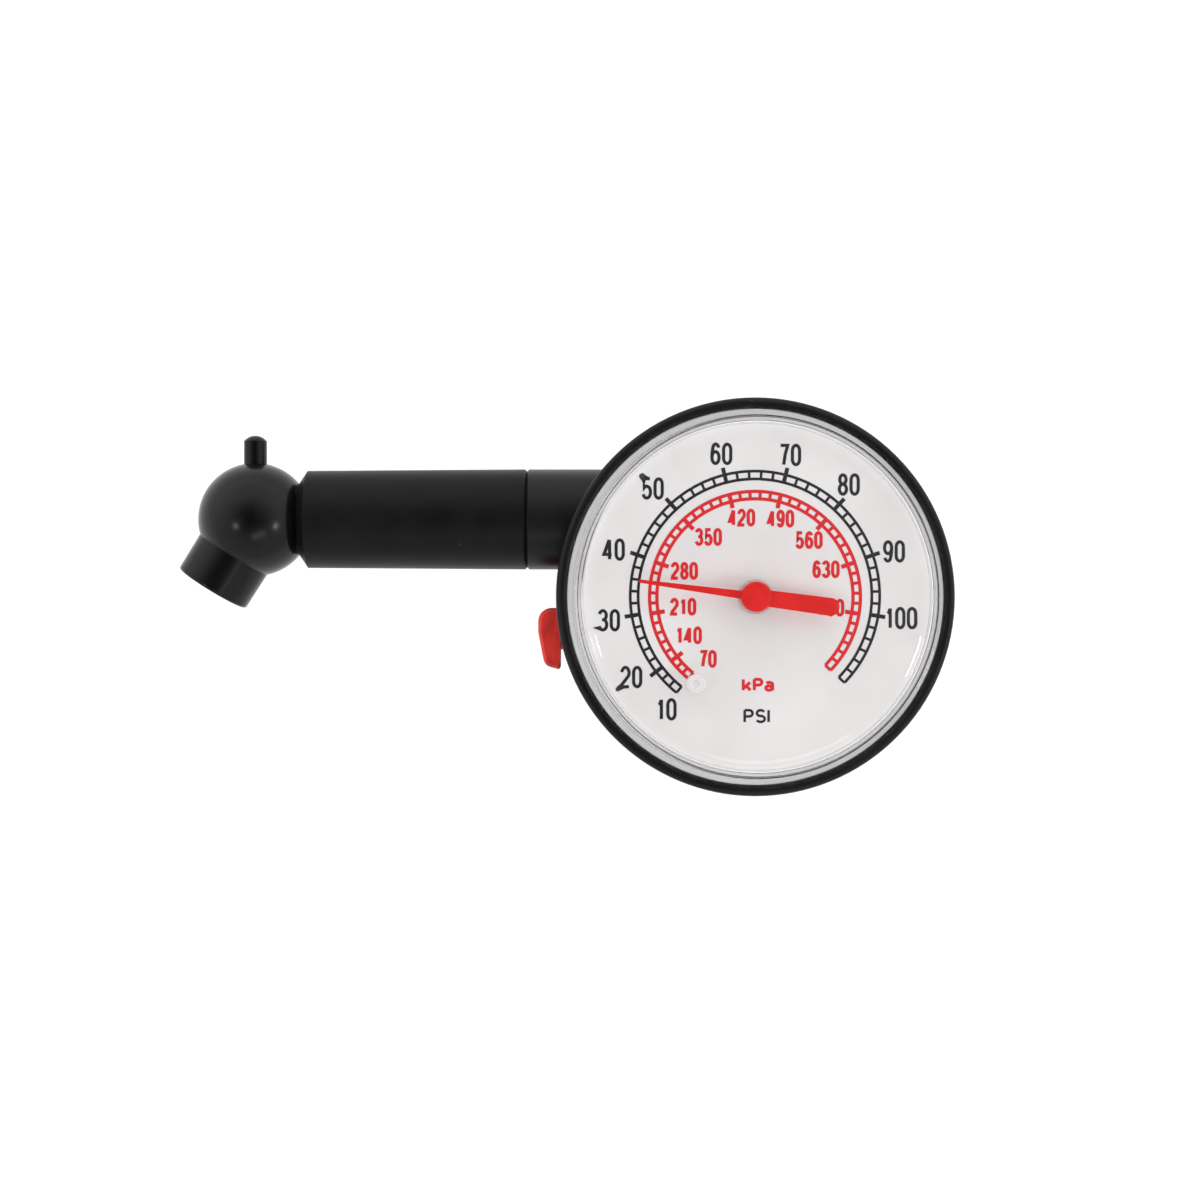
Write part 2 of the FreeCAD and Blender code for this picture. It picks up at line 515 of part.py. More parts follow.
def makeChuck():
    centre = {"x": "-ballPlace", "y": "barrelLine", "z": "axisLevel"}
    sphere = ball("chuckBall", "ballRadius", **centre)
    floor = "neckRadius - neckGroove"
    neck = turned("chuckNeck", [
        ("0", "0"), ("neckRadius", "0"), ("neckRadius", "cordStart"), (floor, "cordStart"),
        (floor, "cordStart + neckCord"),
        ("neckRadius", "cordStart + neckCord"), ("neckRadius", "ringStart"), (floor, "ringStart"),
        (floor, "ringStart + ringThick"), ("neckRadius", "ringStart + ringThick"),
        ("neckRadius", "neckEnd"), ("0", "neckEnd"),
    ], turn=intoCase, **centre)
    nozzle = cone("nozzle", "nozzleRoot", "nozzleMouth", "nozzleReach", turn=nozzleTurn, **centre)
    mouthLength = 2 * math.pi * value("nozzleMouth")
    softNozzle = rounded("nozzleSoft", nozzle, "nozzleRound",
                         lambda edge: abs(edge.Length - mouthLength) < 0.01)
    nibStem = cylinder("nibStem", "nibRadius", "nibReach - nibDome", turn=alongY, **centre)
    domed = dict(centre, y="barrelLine + nibReach - nibDome")
    nibEnd = common("nibEnd", cylinder("nibBlank", "nibRadius", "nibDome", turn=alongY, **domed),
                    ball("nibSphere", "nibDome", **domed))
    bores = turned("nozzleBores", [
        ("0", "0"), ("neckBore", "0"), ("chamberRadius", "chamberFoot"), ("chamberRadius", "sealBack"),
        ("sealRadius", "sealBack"), ("sealRadius", "sealFront"), ("landBore", "sealFront"),
        ("landBore", "sealFront + landDepth"), ("valveBore", "sealFront + landDepth"),
        ("valveBore", "nozzleReach + past"), ("0", "nozzleReach + past"),
    ], turn=nozzleTurn, **centre)
    way = cylinder("neckWay", "neckBore", "neckEnd + past", turn=intoCase, **centre)
    beyond = ring("neckRadius", "ballRadius + past", "neckShoulder", "neckEnd")
    trim = turned("ballTrim", beyond, turn=intoCase, **centre)
    body = fuse("chuckBody", [sphere, neck, softNozzle, nibStem, nibEnd])
    label(cut("chuckWhole", body, [bores, way, trim]), "chuck_head")
    cord = ring(floor, "neckRadius + neckPlay - cordSkim", "cordStart + cordPlay",
                "cordStart + neckCord - cordPlay")
    label(turned("neckSeal", cord, turn=intoCase, **centre), "neck_o_ring")
    clip = ring(floor, "ringRadius", "ringStart", "ringStart + ringThick - clipPlay")
    clipRing = turned("clipRing", clip, turn=intoCase, **centre)
    slot = box("clipSlot", ("neckEnd", "ringSlot", "ringRadius"), "-ballPlace",
               "barrelLine - ringSlot / 2", "axisLevel")
    label(cut("clipWhole", clipRing, [slot]), "neck_circlip")
    seal = ring("sealHole", "sealRadius", "sealBack", "sealFront")
    label(turned("sealBody", seal, turn=nozzleTurn, **centre), "valve_seal")
    makeDepressor(centre)


def makeDepressor(centre):
    low = "chamberFoot + plateLift"
    high = low + " + pinPlate"
    plate = turned("depressorBody", [
        ("0", low), ("chamberRadius", low), ("chamberRadius", high), ("pinRadius", high),
        ("pinRadius", "sealFront - 2 * pinShort"), ("pinRadius - pinTaper", "sealFront - pinShort"),
        ("0", "sealFront - pinShort"),
    ], turn=nozzleTurn, **centre)
    vents = []
    for step in range(3):
        offset = nozzleTurn * around(value("ventPlace"), 120 * step)
        vents.append(cylinder("vent%d" % step, "ventRadius", "pinPlate + 2 * past",
                              "-ballPlace + %f" % offset.x, "barrelLine + %f" % offset.y,
                              "axisLevel + %f" % offset.z, nozzleTurn))
    label(cut("depressorWhole", plate, vents), "depressor_pin")


def makeTube():
    skin = turned("tubeSkin", ring("tubeInner", "tubeOuter", "tubeLow", "tubeHigh"), turn=tubeTurn,
                  angle=tubeSweep)
    hollowWalls = ring("tubeInner + tubeWall", "tubeOuter - tubeWall", "tubeLow + tubeWall",
                       "tubeHigh - tubeWall")
    hollow = turned("tubeHollow", hollowWalls, turn=tubeTurn, angle=tubeSweep)

    def lengthwise(edge):
        return isRing(edge) and edge.Length > value("tubeTall")

    softSkin = rounded("tubeSoft", skin, "tubeRound", lengthwise)
    softHollow = rounded("tubeHollowSoft", hollow, "tubeRound - tubeWall", lengthwise)
    label(cut("tubeWhole", softSkin, [softHollow]), "bourdon_tube")


def makeTubeTip():
    cover = math.degrees(value("tipCover / tubeRadius"))
    tail = math.degrees(value("tipTail / tubeRadius"))
    capTurn = Rotation(Vector(0, 0, 1), value("tubeEnd") - tail)
    capWalls = ring("tubeInner - tipWall", "tubeOuter + tipWall", "tubeLow - tipWall", "tubeHigh + tipWall")
    cap = turned("tipCap", capWalls, turn=capTurn, angle=cover + tail)
    spaceWalls = ring("tubeInner - tubeFit", "tubeOuter + tubeFit", "tubeLow - tubeFit",
                      "tubeHigh + tubeFit")
    space = turned("tipSpace", spaceWalls, turn=tubeTurn, angle=2 * cover)
    lugTurn = Rotation(Vector(0, 0, 1), value("pinAngle"))
    lug = bind(doc.addObject("Part::Box", "tipLug"), Length="pinInset", Width="2 * linkPin + 2 * lugWall",
               Height="gearThick")
    corner = tipSpot + lugTurn * Vector(0, -value("linkPin + lugWall"), 0)
    lug.Placement = FreeCAD.Placement(corner + Vector(0, 0, value("gearLevel")), lugTurn)
    lugEnd = cylinder("tipLugEnd", "linkPin + lugWall", "gearThick", z="gearLevel", **spot(tipSpot))
    pin = cylinder("tipPin", "linkPin", "pinRise", z="gearLevel", **spot(tipSpot))
    label(cut("tipWhole", fuse("tipBody", [cap, lug, lugEnd, pin]), [space]), "bourdon_tip")


def involutePoint(base, radius):
    """The angle by which an involute has opened at a radius."""
    roll = math.sqrt(max(radius * radius / (base * base) - 1, 0))
    return roll - math.atan(roll)


def toothed(teeth, addendum, first, last, phase, centre):
    """Points along a toothed edge: tooth numbers first to last, each centred on phase + number pitch."""
    gearModule = value("gearModule")
    pitchRadius = gearModule * teeth / 2
    base = pitchRadius * math.cos(math.radians(value("pressureAngle")))
    root = pitchRadius - 0.95 * gearModule
    tip = pitchRadius + addendum * gearModule
    half = math.pi / (2 * teeth) - value("backlash") / (4 * pitchRadius) + involutePoint(base, pitchRadius)
    points = []
    for number in range(first, last + 1):
        middle = math.radians(phase) + number * 2 * math.pi / teeth
        flank = [max(root, base) + (tip - max(root, base)) * step / 4 for step in range(5)]
        rising = [(radius, middle - half + involutePoint(base, radius)) for radius in flank]
        falling = [(radius, 2 * middle - angle) for radius, angle in reversed(rising)]
        foot = [(root, rising[0][1])] if root < base else []
        away = [(root, falling[-1][1])] if root < base else []
        points += foot + rising + falling + away
    return [around(radius, math.degrees(angle), centre) for radius, angle in points]


def prism(points, low, height):
    face = Part.Face(Part.makePolygon(points + [points[0]]))
    return face.extrude(Vector(0, 0, height)).translated(Vector(0, 0, low))


def disc(radius, low, height, centre=Vector()):
    return Part.makeCylinder(radius, height, centre + Vector(0, 0, low))


def makePinion():
    teeth = int(value("pinionTeeth"))
    edge = toothed(teeth, 0.9, 0, teeth - 1, value("sectorLine"), Vector())
    pinion = prism(edge, value("pinionBase"), value("pinionTall"))
    pivot = disc(value("pivotRadius"), value("plateBack"), value("pinionBase - plateBack"))
    shaft = disc(value("spindleRadius"), value("pinionBase"), value("spindleTop - pinionBase"))
    label(fromCode("spindle", pinion.multiFuse([pivot, shaft]).removeSplitter()), "pinion_spindle")


def makeSector():
    low = value("gearLevel")
    thick = value("gearThick")
    teeth = int(value("sectorTeeth"))
    toCentre = value("sectorLine") - 180
    edge = toothed(teeth, 0.7, -10, 4, toCentre - 180 / teeth, sectorCentre)
    blade = prism([sectorCentre] + edge, low, thick)
    reach = value("gearModule * sectorTeeth / 2")
    windowEdge = [(0.35, -24), (0.78, -30), (0.82, -10), (0.78, 8), (0.35, 2)]
    window = prism([around(share * reach, toCentre + turn, sectorCentre) for share, turn in windowEdge],
                   low - 1, thick + 2)
    hub = disc(value("arborRadius + hubWall"), low, thick, sectorCentre)
    tailWay = (tailSpot - sectorCentre).normalize()
    side = Vector(-tailWay.y, tailWay.x, 0) * value("linkPin + tailWall")
    tail = prism([sectorCentre + side, sectorCentre - side, tailSpot - side, tailSpot + side], low, thick)
    tailEnd = disc(value("linkPin + tailWall"), low, thick, tailSpot)
    solid = blade.cut(window).multiFuse([hub, tail, tailEnd])
    solid = solid.cut(disc(value("arborRadius"), low - 1, thick + 2, sectorCentre))
    solid = solid.cut(disc(value("linkPin"), low - 1, thick + 2, tailSpot))
    label(fromCode("sector", solid.removeSplitter()), "sector_gear")
    label(turned("arbor", [
        ("0", "plateBack"), ("pivotRadius", "plateBack"), ("pivotRadius", "plateTop + arborPlay"),
        ("arborRadius", "plateTop + arborPlay"), ("arborRadius", "plateFront - arborPlay"),
        ("pivotRadius", "plateFront - arborPlay"), ("pivotRadius", "plateFront + plateThick"),
        ("0", "plateFront + plateThick"),
    ], **spot(sectorCentre)), "sector_arbor")
    head = "linkPin + linkPlay + headLap"
    under = "linkLow + linkThick + headLift"
    label(turned("tailPin", [
        ("0", "gearLevel"), ("linkPin", "gearLevel"), ("linkPin", under), (head, under),
        (head, under + " + linkHead"), ("0", under + " + linkHead"),
    ], **spot(tailSpot)), "link_pin")


def makeLink():
    low = value("linkLow")
    thick = value("linkThick")
    way = (tailSpot - tipSpot).normalize()
    side = Vector(-way.y, way.x, 0) * value("linkWide / 2")
    bar = prism([tipSpot + side, tipSpot - side, tailSpot - side, tailSpot + side], low, thick)
    solid = bar.multiFuse([disc(value("linkEnd"), low, thick, end) for end in (tipSpot, tailSpot)])
    solid = solid.cut(disc(value("linkPin + pivotPlay"), low - 1, thick + 2, tipSpot))
    solid = solid.cut(disc(value("linkPin + linkPlay"), low - 1, thick + 2, tailSpot))
    label(fromCode("linkBar", solid.removeSplitter()), "link")


def makePlate(name, corners, level, centreHole, spots):
    blank = padded(name + "Blank", corners, "plateThick", z=level)
    under = level + " - plateThick"
    through = "3 * plateThick"
    holes = [cylinder(name + "Centre", centreHole + " + pivotPlay", through, z=under),
             cylinder(name + "Arbor", "pivotRadius + pivotPlay", through, z=under, **spot(sectorCentre))]
    holes += [cylinder("%sHole%d" % (name, number), "screwRadius", through, x, y, under)
              for number, (x, y) in enumerate(spots)]
    label(cut(name + "Whole", blank, holes), name + "_plate")


def screw(name, seat, length, x, y):
    """A cheese-head screw whose head rests at the level called seat."""
    return turned(name, [
        ("0", "0 - (%s)" % length), ("screwRadius", "0 - (%s)" % length), ("screwRadius", "0"),
        ("screwHead", "0"), ("screwHead", "headTall"), ("0", "headTall"),
    ], x, y, seat)


def makeMovement():
    makePlate("back", [
        ("-9.6", "6.6"), ("-7.8", "7.4"), ("-1.2", "7.9"), ("1.6", "6"), ("8.4", "-2.6"),
        ("8.4", "-6.2"), ("4.6", "-9.8"), ("-6.6", "-14.4"), ("-11", "-14"), ("-15.2", "-10.6"),
        ("-15.4", "-4.4"),
    ], "plateBack", "pivotRadius", screwSpots)
    makePlate("front", [
        ("-9.6", "6.6"), ("-6.2", "7"), ("2.4", "3"), ("8.4", "-2.8"), ("8.2", "-6.2"),
        ("-6.2", "-13"), ("-10.6", "-13"), ("-15.2", "-7"), ("-15.2", "-4.2"),
    ], "plateFront", "spindleRadius", pillarSpots)
    for number, (x, y) in enumerate(pillarSpots):
        label(turned("pillar%d" % number, [
            ("0", "plateTop"), ("pillarRadius", "plateTop"), ("pillarRadius", "plateFront"),
            ("screwRadius", "plateFront"), ("screwRadius", "plateFront - screwDepth - holeSpare"),
            ("0", "plateFront - screwDepth - holeSpare"),
        ], x, y), "pillar_%d" % (number + 1))
        label(screw("plateScrew%d" % number, "plateFront + plateThick", "plateThick + screwDepth", x, y),
              "plate_screw_%d" % (number + 1))
    for number, (x, y) in enumerate(screwSpots):
        label(screw("movementScrew%d" % number, "plateTop", "plateTop - caseFloor / 2 - endSpare", x, y),
              "movement_screw_%d" % (number + 1))


def makeHairspring():
    colletWalls = ring("spindleRadius", "hairInner - hairWire / 2", "hairLevel - colletPast",
                       "hairLevel + hairTall + colletPast")
    label(turned("collet", colletWalls), "hairspring_collet")
    label(fromCode("hairspringStrip", hairStrip()), "hairspring")
    label(cylinder("stud", "studRadius", "plateFront - hairLevel",
                   "hairOuter + hairWire / 2 + studRadius", "0", "hairLevel"), "hairspring_stud")


def hairStrip():
    """A flat strip wound in an even spiral, from the collet out to the stud."""
    turns = value("hairTurns")
    inner = value("hairInner")
    growth = value("hairOuter") - inner
    half = value("hairWire") / 2
    steps = int(turns * 24)

    def side(offset):
        points = [around(inner + growth * step / steps + offset, 360 * turns * (step / steps - 1))
                  for step in range(steps + 1)]
        curve = Part.BSplineCurve()
        curve.interpolate(points)
        return curve.toShape(), points[0], points[-1]

    outside, outFirst, outLast = side(half)
    inside, inFirst, inLast = side(-half)
    ends = [Part.makeLine(outLast, inLast), Part.makeLine(inFirst, outFirst)]
    wire = Part.Wire(Part.__sortEdges__([outside, ends[0], inside, ends[1]]))
    strip = Part.Face(wire).extrude(Vector(0, 0, value("hairTall")))
    return strip.translated(Vector(0, 0, value("hairLevel")))


def makeDial():
    plate = cylinder("dialBlank", "rimBore - dialPlay", "dialThick", z="dialUnder")
    holes = [cylinder("dialCentre", "dialHole", "3 * dialThick", z="dialUnder - dialThick"),
             cylinder("pegHole", "pegRadius - pegStep", "3 * dialThick", z="dialUnder - dialThick",
                      **spot(pegSpot))]
    label(cut("dialWhole", plate, holes), "dial_plate")
    foot = "pegRadius - pegStep"
    label(turned("pegBody", [
        ("0", "dialUnder - dialThick"), (foot, "dialUnder - dialThick"), (foot, "dialLevel"),
        ("pegRadius", "dialLevel"), ("pegRadius", "pegTop - pegBevel"),
        ("pegRadius - pegBevel", "pegTop"),
        ("pegBore", "pegTop"), ("pegBore", "pegTop - pegDeep"), ("0", "pegTop - pegDeep"),
    ], **spot(pegSpot)), "stop_pin")


def makePointer():
    turn = Rotation(Vector(0, 0, 1), value("pointerAngle"))
    tailPlace = "-pointerTail + tailHalf"
    blade = padded("pointerBlade", [
        ("0", "-pointerRoot"), ("pointerTip - pointTaper", "-pointerPoint"), ("pointerTip", "0"),
        ("pointerTip - pointTaper", "pointerPoint"), ("0", "pointerRoot"), ("0", "tailRoot"),
        (tailPlace, "tailHalf"), (tailPlace, "-tailHalf"), ("0", "-tailRoot"),
    ], "pointerThick", z="pointerLevel", turn=turn)
    tailCentre = turn * Vector(value(tailPlace), 0, 0)
    tail = cylinder("pointerTailEnd", "tailHalf", "pointerThick", z="pointerLevel", **spot(tailCentre))
    hub = turned("pointerHub", [
        ("0", "hubLow"), ("hubRadius", "hubLow"), ("hubRadius", "hubTop - hubBevel"),
        ("hubRadius - hubBevel", "hubTop"), ("0", "hubTop"),
    ])
    bore = cylinder("pointerBore", "spindleRadius", "spindleTop - hubLow", z="hubLow")
    label(cut("pointerWhole", fuse("pointerBody", [blade, tail, hub]), [bore]), "pointer")
    boss = ring("spindleRadius", "washerRadius", "dialLevel + washerGap", "hubLow")
    label(turned("bossRing", boss), "pointer_boss")


def makeLens():
    domeRadius = "((lensRadius * lensRadius + domeRise * domeRise) / (2 * domeRise))"
    shells = []
    for name, inset, softness in (("lensOuter", "0", "lensRound"), ("lensInner", "lensThick",
                                                                    "lensInnerRound")):
        post = cylinder(name + "Post", "lensRadius - " + inset, "lensTall", z="dialLevel - " + inset)
        dome = ball(name + "Dome", domeRadius + " - " + inset, z="lensTop - " + domeRadius)
        both = common(name + "Both", post, dome)

        def shoulder(rim):
            return isRing(rim) and rim.BoundBox.ZMin > value("dialLevel + flangeThick")

        shells.append(rounded(name + "Soft", both, softness, shoulder))
    flange = cylinder("lensFlange", "rimBore - lensFit", "flangeThick", z="dialLevel")
    floor = cylinder("lensFloor", "lensRadius - lensThick", "2 * lensThick", z="dialLevel - lensThick")
    label(cut("lensWhole", fuse("lensBody", [shells[0], flange]), [shells[1], floor]), "lens")


makers = (makeCase, makeBarrel, makeBlock, makeCheckValve, makeReleaseValve, makeChuck, makeTube,
          makeTubeTip, makePinion, makeSector, makeLink, makeMovement, makeHairspring, makeDial,
          makePointer, makeLens)
for make in makers:
    make()
    print("made", make.__name__)

doc.recompute()
for thing in doc.Objects:
    if "Invalid" in thing.State or "Error" in thing.State:
        raise RuntimeError("failed: " + thing.Name)

os.makedirs("parts", exist_ok=True)
for node in nodes:
    shape = node.Shape
    if shape.isNull() or not shape.isValid() or not shape.Solids:
        raise RuntimeError("no valid solid: " + node.Label)
    shape.exportStep("parts/%s.step" % node.Label)
    bounds = shape.BoundBox
    print("%-20s %d %9.2f  x %7.2f %7.2f  y %7.2f %7.2f  z %6.2f %6.2f" % (
        node.Label, len(shape.Solids), shape.Volume, bounds.XMin, bounds.XMax, bounds.YMin, bounds.YMax,
        bounds.ZMin, bounds.ZMax))
print(len(nodes), "sub-parts")
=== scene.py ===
import math

import bmesh
import bpy
from mathutils import Matrix, Vector


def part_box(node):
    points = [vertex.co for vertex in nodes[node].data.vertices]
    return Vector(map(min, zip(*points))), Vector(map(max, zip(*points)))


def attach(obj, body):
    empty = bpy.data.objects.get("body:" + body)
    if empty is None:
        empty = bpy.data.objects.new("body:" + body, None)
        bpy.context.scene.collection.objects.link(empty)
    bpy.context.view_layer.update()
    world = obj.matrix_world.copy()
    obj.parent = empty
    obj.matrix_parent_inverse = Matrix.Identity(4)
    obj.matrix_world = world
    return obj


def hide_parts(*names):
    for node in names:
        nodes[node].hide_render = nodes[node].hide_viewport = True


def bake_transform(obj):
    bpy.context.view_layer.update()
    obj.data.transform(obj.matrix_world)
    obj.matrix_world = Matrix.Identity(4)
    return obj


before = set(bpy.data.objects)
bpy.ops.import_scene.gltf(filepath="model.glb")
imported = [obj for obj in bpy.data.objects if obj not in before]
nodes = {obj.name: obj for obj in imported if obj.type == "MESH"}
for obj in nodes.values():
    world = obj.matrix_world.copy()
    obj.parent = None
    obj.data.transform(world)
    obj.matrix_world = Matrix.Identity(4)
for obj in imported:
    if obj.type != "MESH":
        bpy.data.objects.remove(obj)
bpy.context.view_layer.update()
mm = 0.001
scene = bpy.context.scene
print("frame loaded with", len(nodes), "nodes")

# Camera: straight down on the dial, far enough for little perspective

viewpoint = {"across": -23.36, "along": -0.48, "height": 342.5, "lens": 64.5, "sensor": 36}

camera = bpy.data.objects.new("camera", bpy.data.cameras.new("camera"))
camera.data.lens = viewpoint["lens"]
camera.data.sensor_width = viewpoint["sensor"]
camera.data.clip_start = 0.01
camera.data.clip_end = 20
camera.location = Vector((viewpoint["across"], viewpoint["along"], viewpoint["height"])) * mm
scene.collection.objects.link(camera)
scene.camera = camera
scene.view_settings.view_transform = "Standard"
print("camera placed")


# A number on its way through a node tree: sums with it add Math nodes
class Signal:
    def __init__(self, sheet, socket):
        self.sheet = sheet
        self.socket = socket

    def __add__(self, other):
        return self.sheet.maths("ADD", self, other)

    def __sub__(self, other):
        return self.sheet.maths("SUBTRACT", self, other)

    def __rsub__(self, other):
        return self.sheet.maths("SUBTRACT", other, self)

    def __mul__(self, other):
        return self.sheet.maths("MULTIPLY", self, other)

    def __truediv__(self, other):
        return self.sheet.maths("DIVIDE", self, other)

    def __pow__(self, other):
        return self.sheet.maths("POWER", self, other)

    __radd__ = __add__
    __rmul__ = __mul__


# Adds nodes to one tree, for materials and for geometry alike
class NodeSheet:
    def __init__(self, tree):
        self.tree = tree

    def add(self, kind, settings=None, sockets=None):
        node = self.tree.nodes.new(kind)
        for name, setting in (settings or {}).items():
            setattr(node, name, setting)
        for name, given in (sockets or {}).items():
            self.feed(node.inputs[name], given)
        return node

    def feed(self, socket, given):
        if isinstance(given, Signal):
            given = given.socket
        if isinstance(given, bpy.types.NodeSocket):
            self.tree.links.new(given, socket)
        else:
            socket.default_value = given

    def maths(self, operation, first, second=0.0, clamp=False):
        node = self.add("ShaderNodeMath", {"operation": operation, "use_clamp": clamp},
                        {0: first, 1: second})
        return Signal(self, node.outputs[0])

    def vector(self, x, y, z):
        return self.add("ShaderNodeCombineXYZ", None, {0: x, 1: y, 2: z}).outputs[0]


# A screen colour, 0 to 255, as the shaders want it
def linear(red, green, blue):
    shares = [value / 255 for value in (red, green, blue)]
    return tuple(share / 12.92 if share <= 0.04045 else ((share + 0.055) / 1.055) ** 2.4
                 for share in shares) + (1,)


# One material, whose patterns are measured in millimetres
class Finish(NodeSheet):
    def __init__(self, name):
        self.material = bpy.data.materials.new(name)
        self.material.use_nodes = True
        super().__init__(self.material.node_tree)
        self.tree.nodes.clear()
        where = self.add("ShaderNodeTexCoord").outputs["Object"]
        self.where = self.scaled(where, (1000, 1000, 1000))

    def scaled(self, where, shares, turn=(0, 0, 0)):
        return self.add("ShaderNodeMapping", None,
                        {"Vector": where, "Scale": shares, "Rotation": turn}).outputs[0]

    def axes(self):
        apart = self.add("ShaderNodeSeparateXYZ", None, {0: self.where})
        return [Signal(self, socket) for socket in apart.outputs]

    def noise(self, scale, detail=3.0, roughness=0.55, where=None):
        node = self.add("ShaderNodeTexNoise", None, {
            "Vector": where or self.where, "Scale": scale, "Detail": detail, "Roughness": roughness})
        return Signal(self, node.outputs[0])

    def specks(self, scale, size):
        node = self.add("ShaderNodeTexVoronoi", None, {"Vector": self.where, "Scale": scale})
        return self.between(Signal(self, node.outputs["Distance"]), size, size * 0.5)

    def between(self, signal, low, high):
        node = self.add("ShaderNodeMapRange", {"interpolation_type": "SMOOTHSTEP"},
                        {"Value": signal, "From Min": low, "From Max": high})
        return Signal(self, node.outputs[0])

    def mixed(self, share, first, second):
        node = self.add("ShaderNodeMix", {"data_type": "RGBA"}, {0: share, 6: first, 7: second})
        return node.outputs[2]

    def bumped(self, height, strength, distance):
        node = self.add("ShaderNodeBump", None, {
            "Height": height, "Strength": strength, "Distance": distance * mm})
        return node.outputs[0]

    def shade(self, **sockets):
        named = {name.replace("_", " "): given for name, given in sockets.items()}
        return self.add("ShaderNodeBsdfPrincipled", None, named).outputs[0]

    def show(self, shader):
        self.add("ShaderNodeOutputMaterial", None, {"Surface": shader})
        return self.material


# Finishes

def mouldedPlastic(name, dark, light, roughness, grain=5.0, peel=0.35, dust=0.0, gloss=1.25):
    finish = Finish(name)
    cloud = finish.noise(0.12, 4)
    fine = finish.noise(grain, 2)
    waves = finish.noise(peel, 3)
    colour = finish.mixed(finish.between(cloud * 0.6 + fine * 0.4, 0.35, 0.65), dark, light)
    speck = finish.specks(0.45, 0.05) * finish.between(cloud, 0.52, 0.6)
    colour = finish.mixed(speck * dust, colour, (0.35, 0.34, 0.33, 1))
    rough = roughness + (cloud - 0.5) * 0.16 + (fine - 0.5) * 0.1
    normal = finish.bumped(fine * 0.25 + waves, 0.35, 0.035)
    return finish.show(finish.shade(Base_Color=colour, Roughness=rough, Normal=normal, IOR=gloss))


def blackMetal():
    finish = Finish("blackMetal")
    cloud = finish.noise(0.22, 4)
    fine = finish.noise(9.0, 2)
    brushed = finish.noise(1.2, 2, where=finish.scaled(finish.where, (1, 0.12, 1),
                                                       turn=(0, 0, math.radians(31))))
    colour = finish.mixed(finish.between(cloud, 0.35, 0.7), (0.003, 0.003, 0.003, 1),
                          (0.0055, 0.0053, 0.005, 1))
    rough = 0.21 + (cloud - 0.5) * 0.14 + (brushed - 0.5) * 0.1
    normal = finish.bumped(fine * 0.3 + brushed, 0.3, 0.02)
    return finish.show(finish.shade(Base_Color=colour, Roughness=rough, Normal=normal, IOR=1.3))


def metal(name, colour, roughness, stretch=(1, 1, 0.1)):
    finish = Finish(name)
    cloud = finish.noise(0.5, 3)
    grain = finish.noise(6.0, 2, where=finish.scaled(finish.where, stretch))
    darker = tuple(share * 0.72 for share in colour[:3]) + (1,)
    tint = finish.mixed(finish.between(cloud * 0.5 + grain * 0.5, 0.3, 0.7), darker, colour)
    rough = roughness + (grain - 0.5) * 0.2
    return finish.show(finish.shade(Base_Color=tint, Metallic=1.0, Roughness=rough,
                                    Normal=finish.bumped(grain, 0.3, 0.01)))


def softRubber():
    finish = Finish("softRubber")
    grain = finish.noise(7.0, 3)
    colour = finish.mixed(grain, (0.008, 0.008, 0.008, 1), (0.022, 0.021, 0.02, 1))
    return finish.show(finish.shade(Base_Color=colour, Roughness=0.75 + (grain - 0.5) * 0.2,
                                    Normal=finish.bumped(grain, 0.5, 0.03)))


# The shade tone is painted shade under the lens wall, and the edge tone is a painted highlight from the
# lens flange's rounded rim
dialTones = {"dark": linear(238, 234, 234), "light": linear(246, 243, 243),
             "grain": linear(205, 200, 200), "shade": linear(214, 212, 212),
             "edge": linear(253, 252, 252), "shadeFrom": 26.2, "shadeTo": 27.2, "shadeShare": 0.7,
             "highlightFrom": 27.4, "highlightTo": 27.7}


# Nearly white, with painted shade as a grey band under the lens wall and a painted highlight as a bright
# edge outside it
def dialPaint(tones):
    finish = Finish("dialPaint")
    cloud = finish.noise(0.07, 3)
    fine = finish.noise(3.2, 2)
    colour = finish.mixed(finish.between(cloud, 0.3, 0.7), tones["dark"], tones["light"])
    colour = finish.mixed((fine - 0.45) * 0.08, colour, tones["grain"])
    x, y = finish.axes()[:2]
    reach = (x * x + y * y) ** 0.5
    # Painted shade: a grey ring under the lens wall
    paintedShade = finish.between(reach, tones["shadeFrom"], tones["shadeTo"]) * tones["shadeShare"]
    colour = finish.mixed(paintedShade, colour, tones["shade"])
    # Painted highlight: a bright ring outside it, under the flange's rim
    colour = finish.mixed(finish.between(reach, tones["highlightFrom"], tones["highlightTo"]), colour, tones["edge"])
    return finish.show(finish.shade(Base_Color=colour, Roughness=0.5 + (fine - 0.5) * 0.15,
                                    Normal=finish.bumped(fine, 0.15, 0.01)))


def printInk(name, colour, thin):
    finish = Finish(name)
    wear = finish.noise(2.6, 4, 0.7)
    tint = finish.mixed(finish.between(wear, 0.55, 0.8), colour, thin)
    return finish.show(finish.shade(Base_Color=tint, Roughness=0.5 + (wear - 0.5) * 0.3, IOR=1.3,
                                    Normal=finish.bumped(wear, 0.2, 0.006)))


def pointerPaint():
    finish = Finish("pointerPaint")
    cloud = finish.noise(0.35, 3)
    fine = finish.noise(6.0, 2)
    colour = finish.mixed(finish.between(cloud, 0.3, 0.75), linear(234, 32, 30), linear(218, 24, 24))
    return finish.show(finish.shade(Base_Color=colour, Roughness=0.45 + (fine - 0.5) * 0.2, IOR=1.35,
                                    Normal=finish.bumped(fine + cloud, 0.25, 0.02)))


# The foot tone is painted shade, darkening the button towards the case
buttonTones = {"light": linear(236, 52, 42), "dark": linear(206, 36, 29), "foot": linear(120, 22, 19),
               "footShadeFrom": -9.2, "footShadeTo": -11.4}


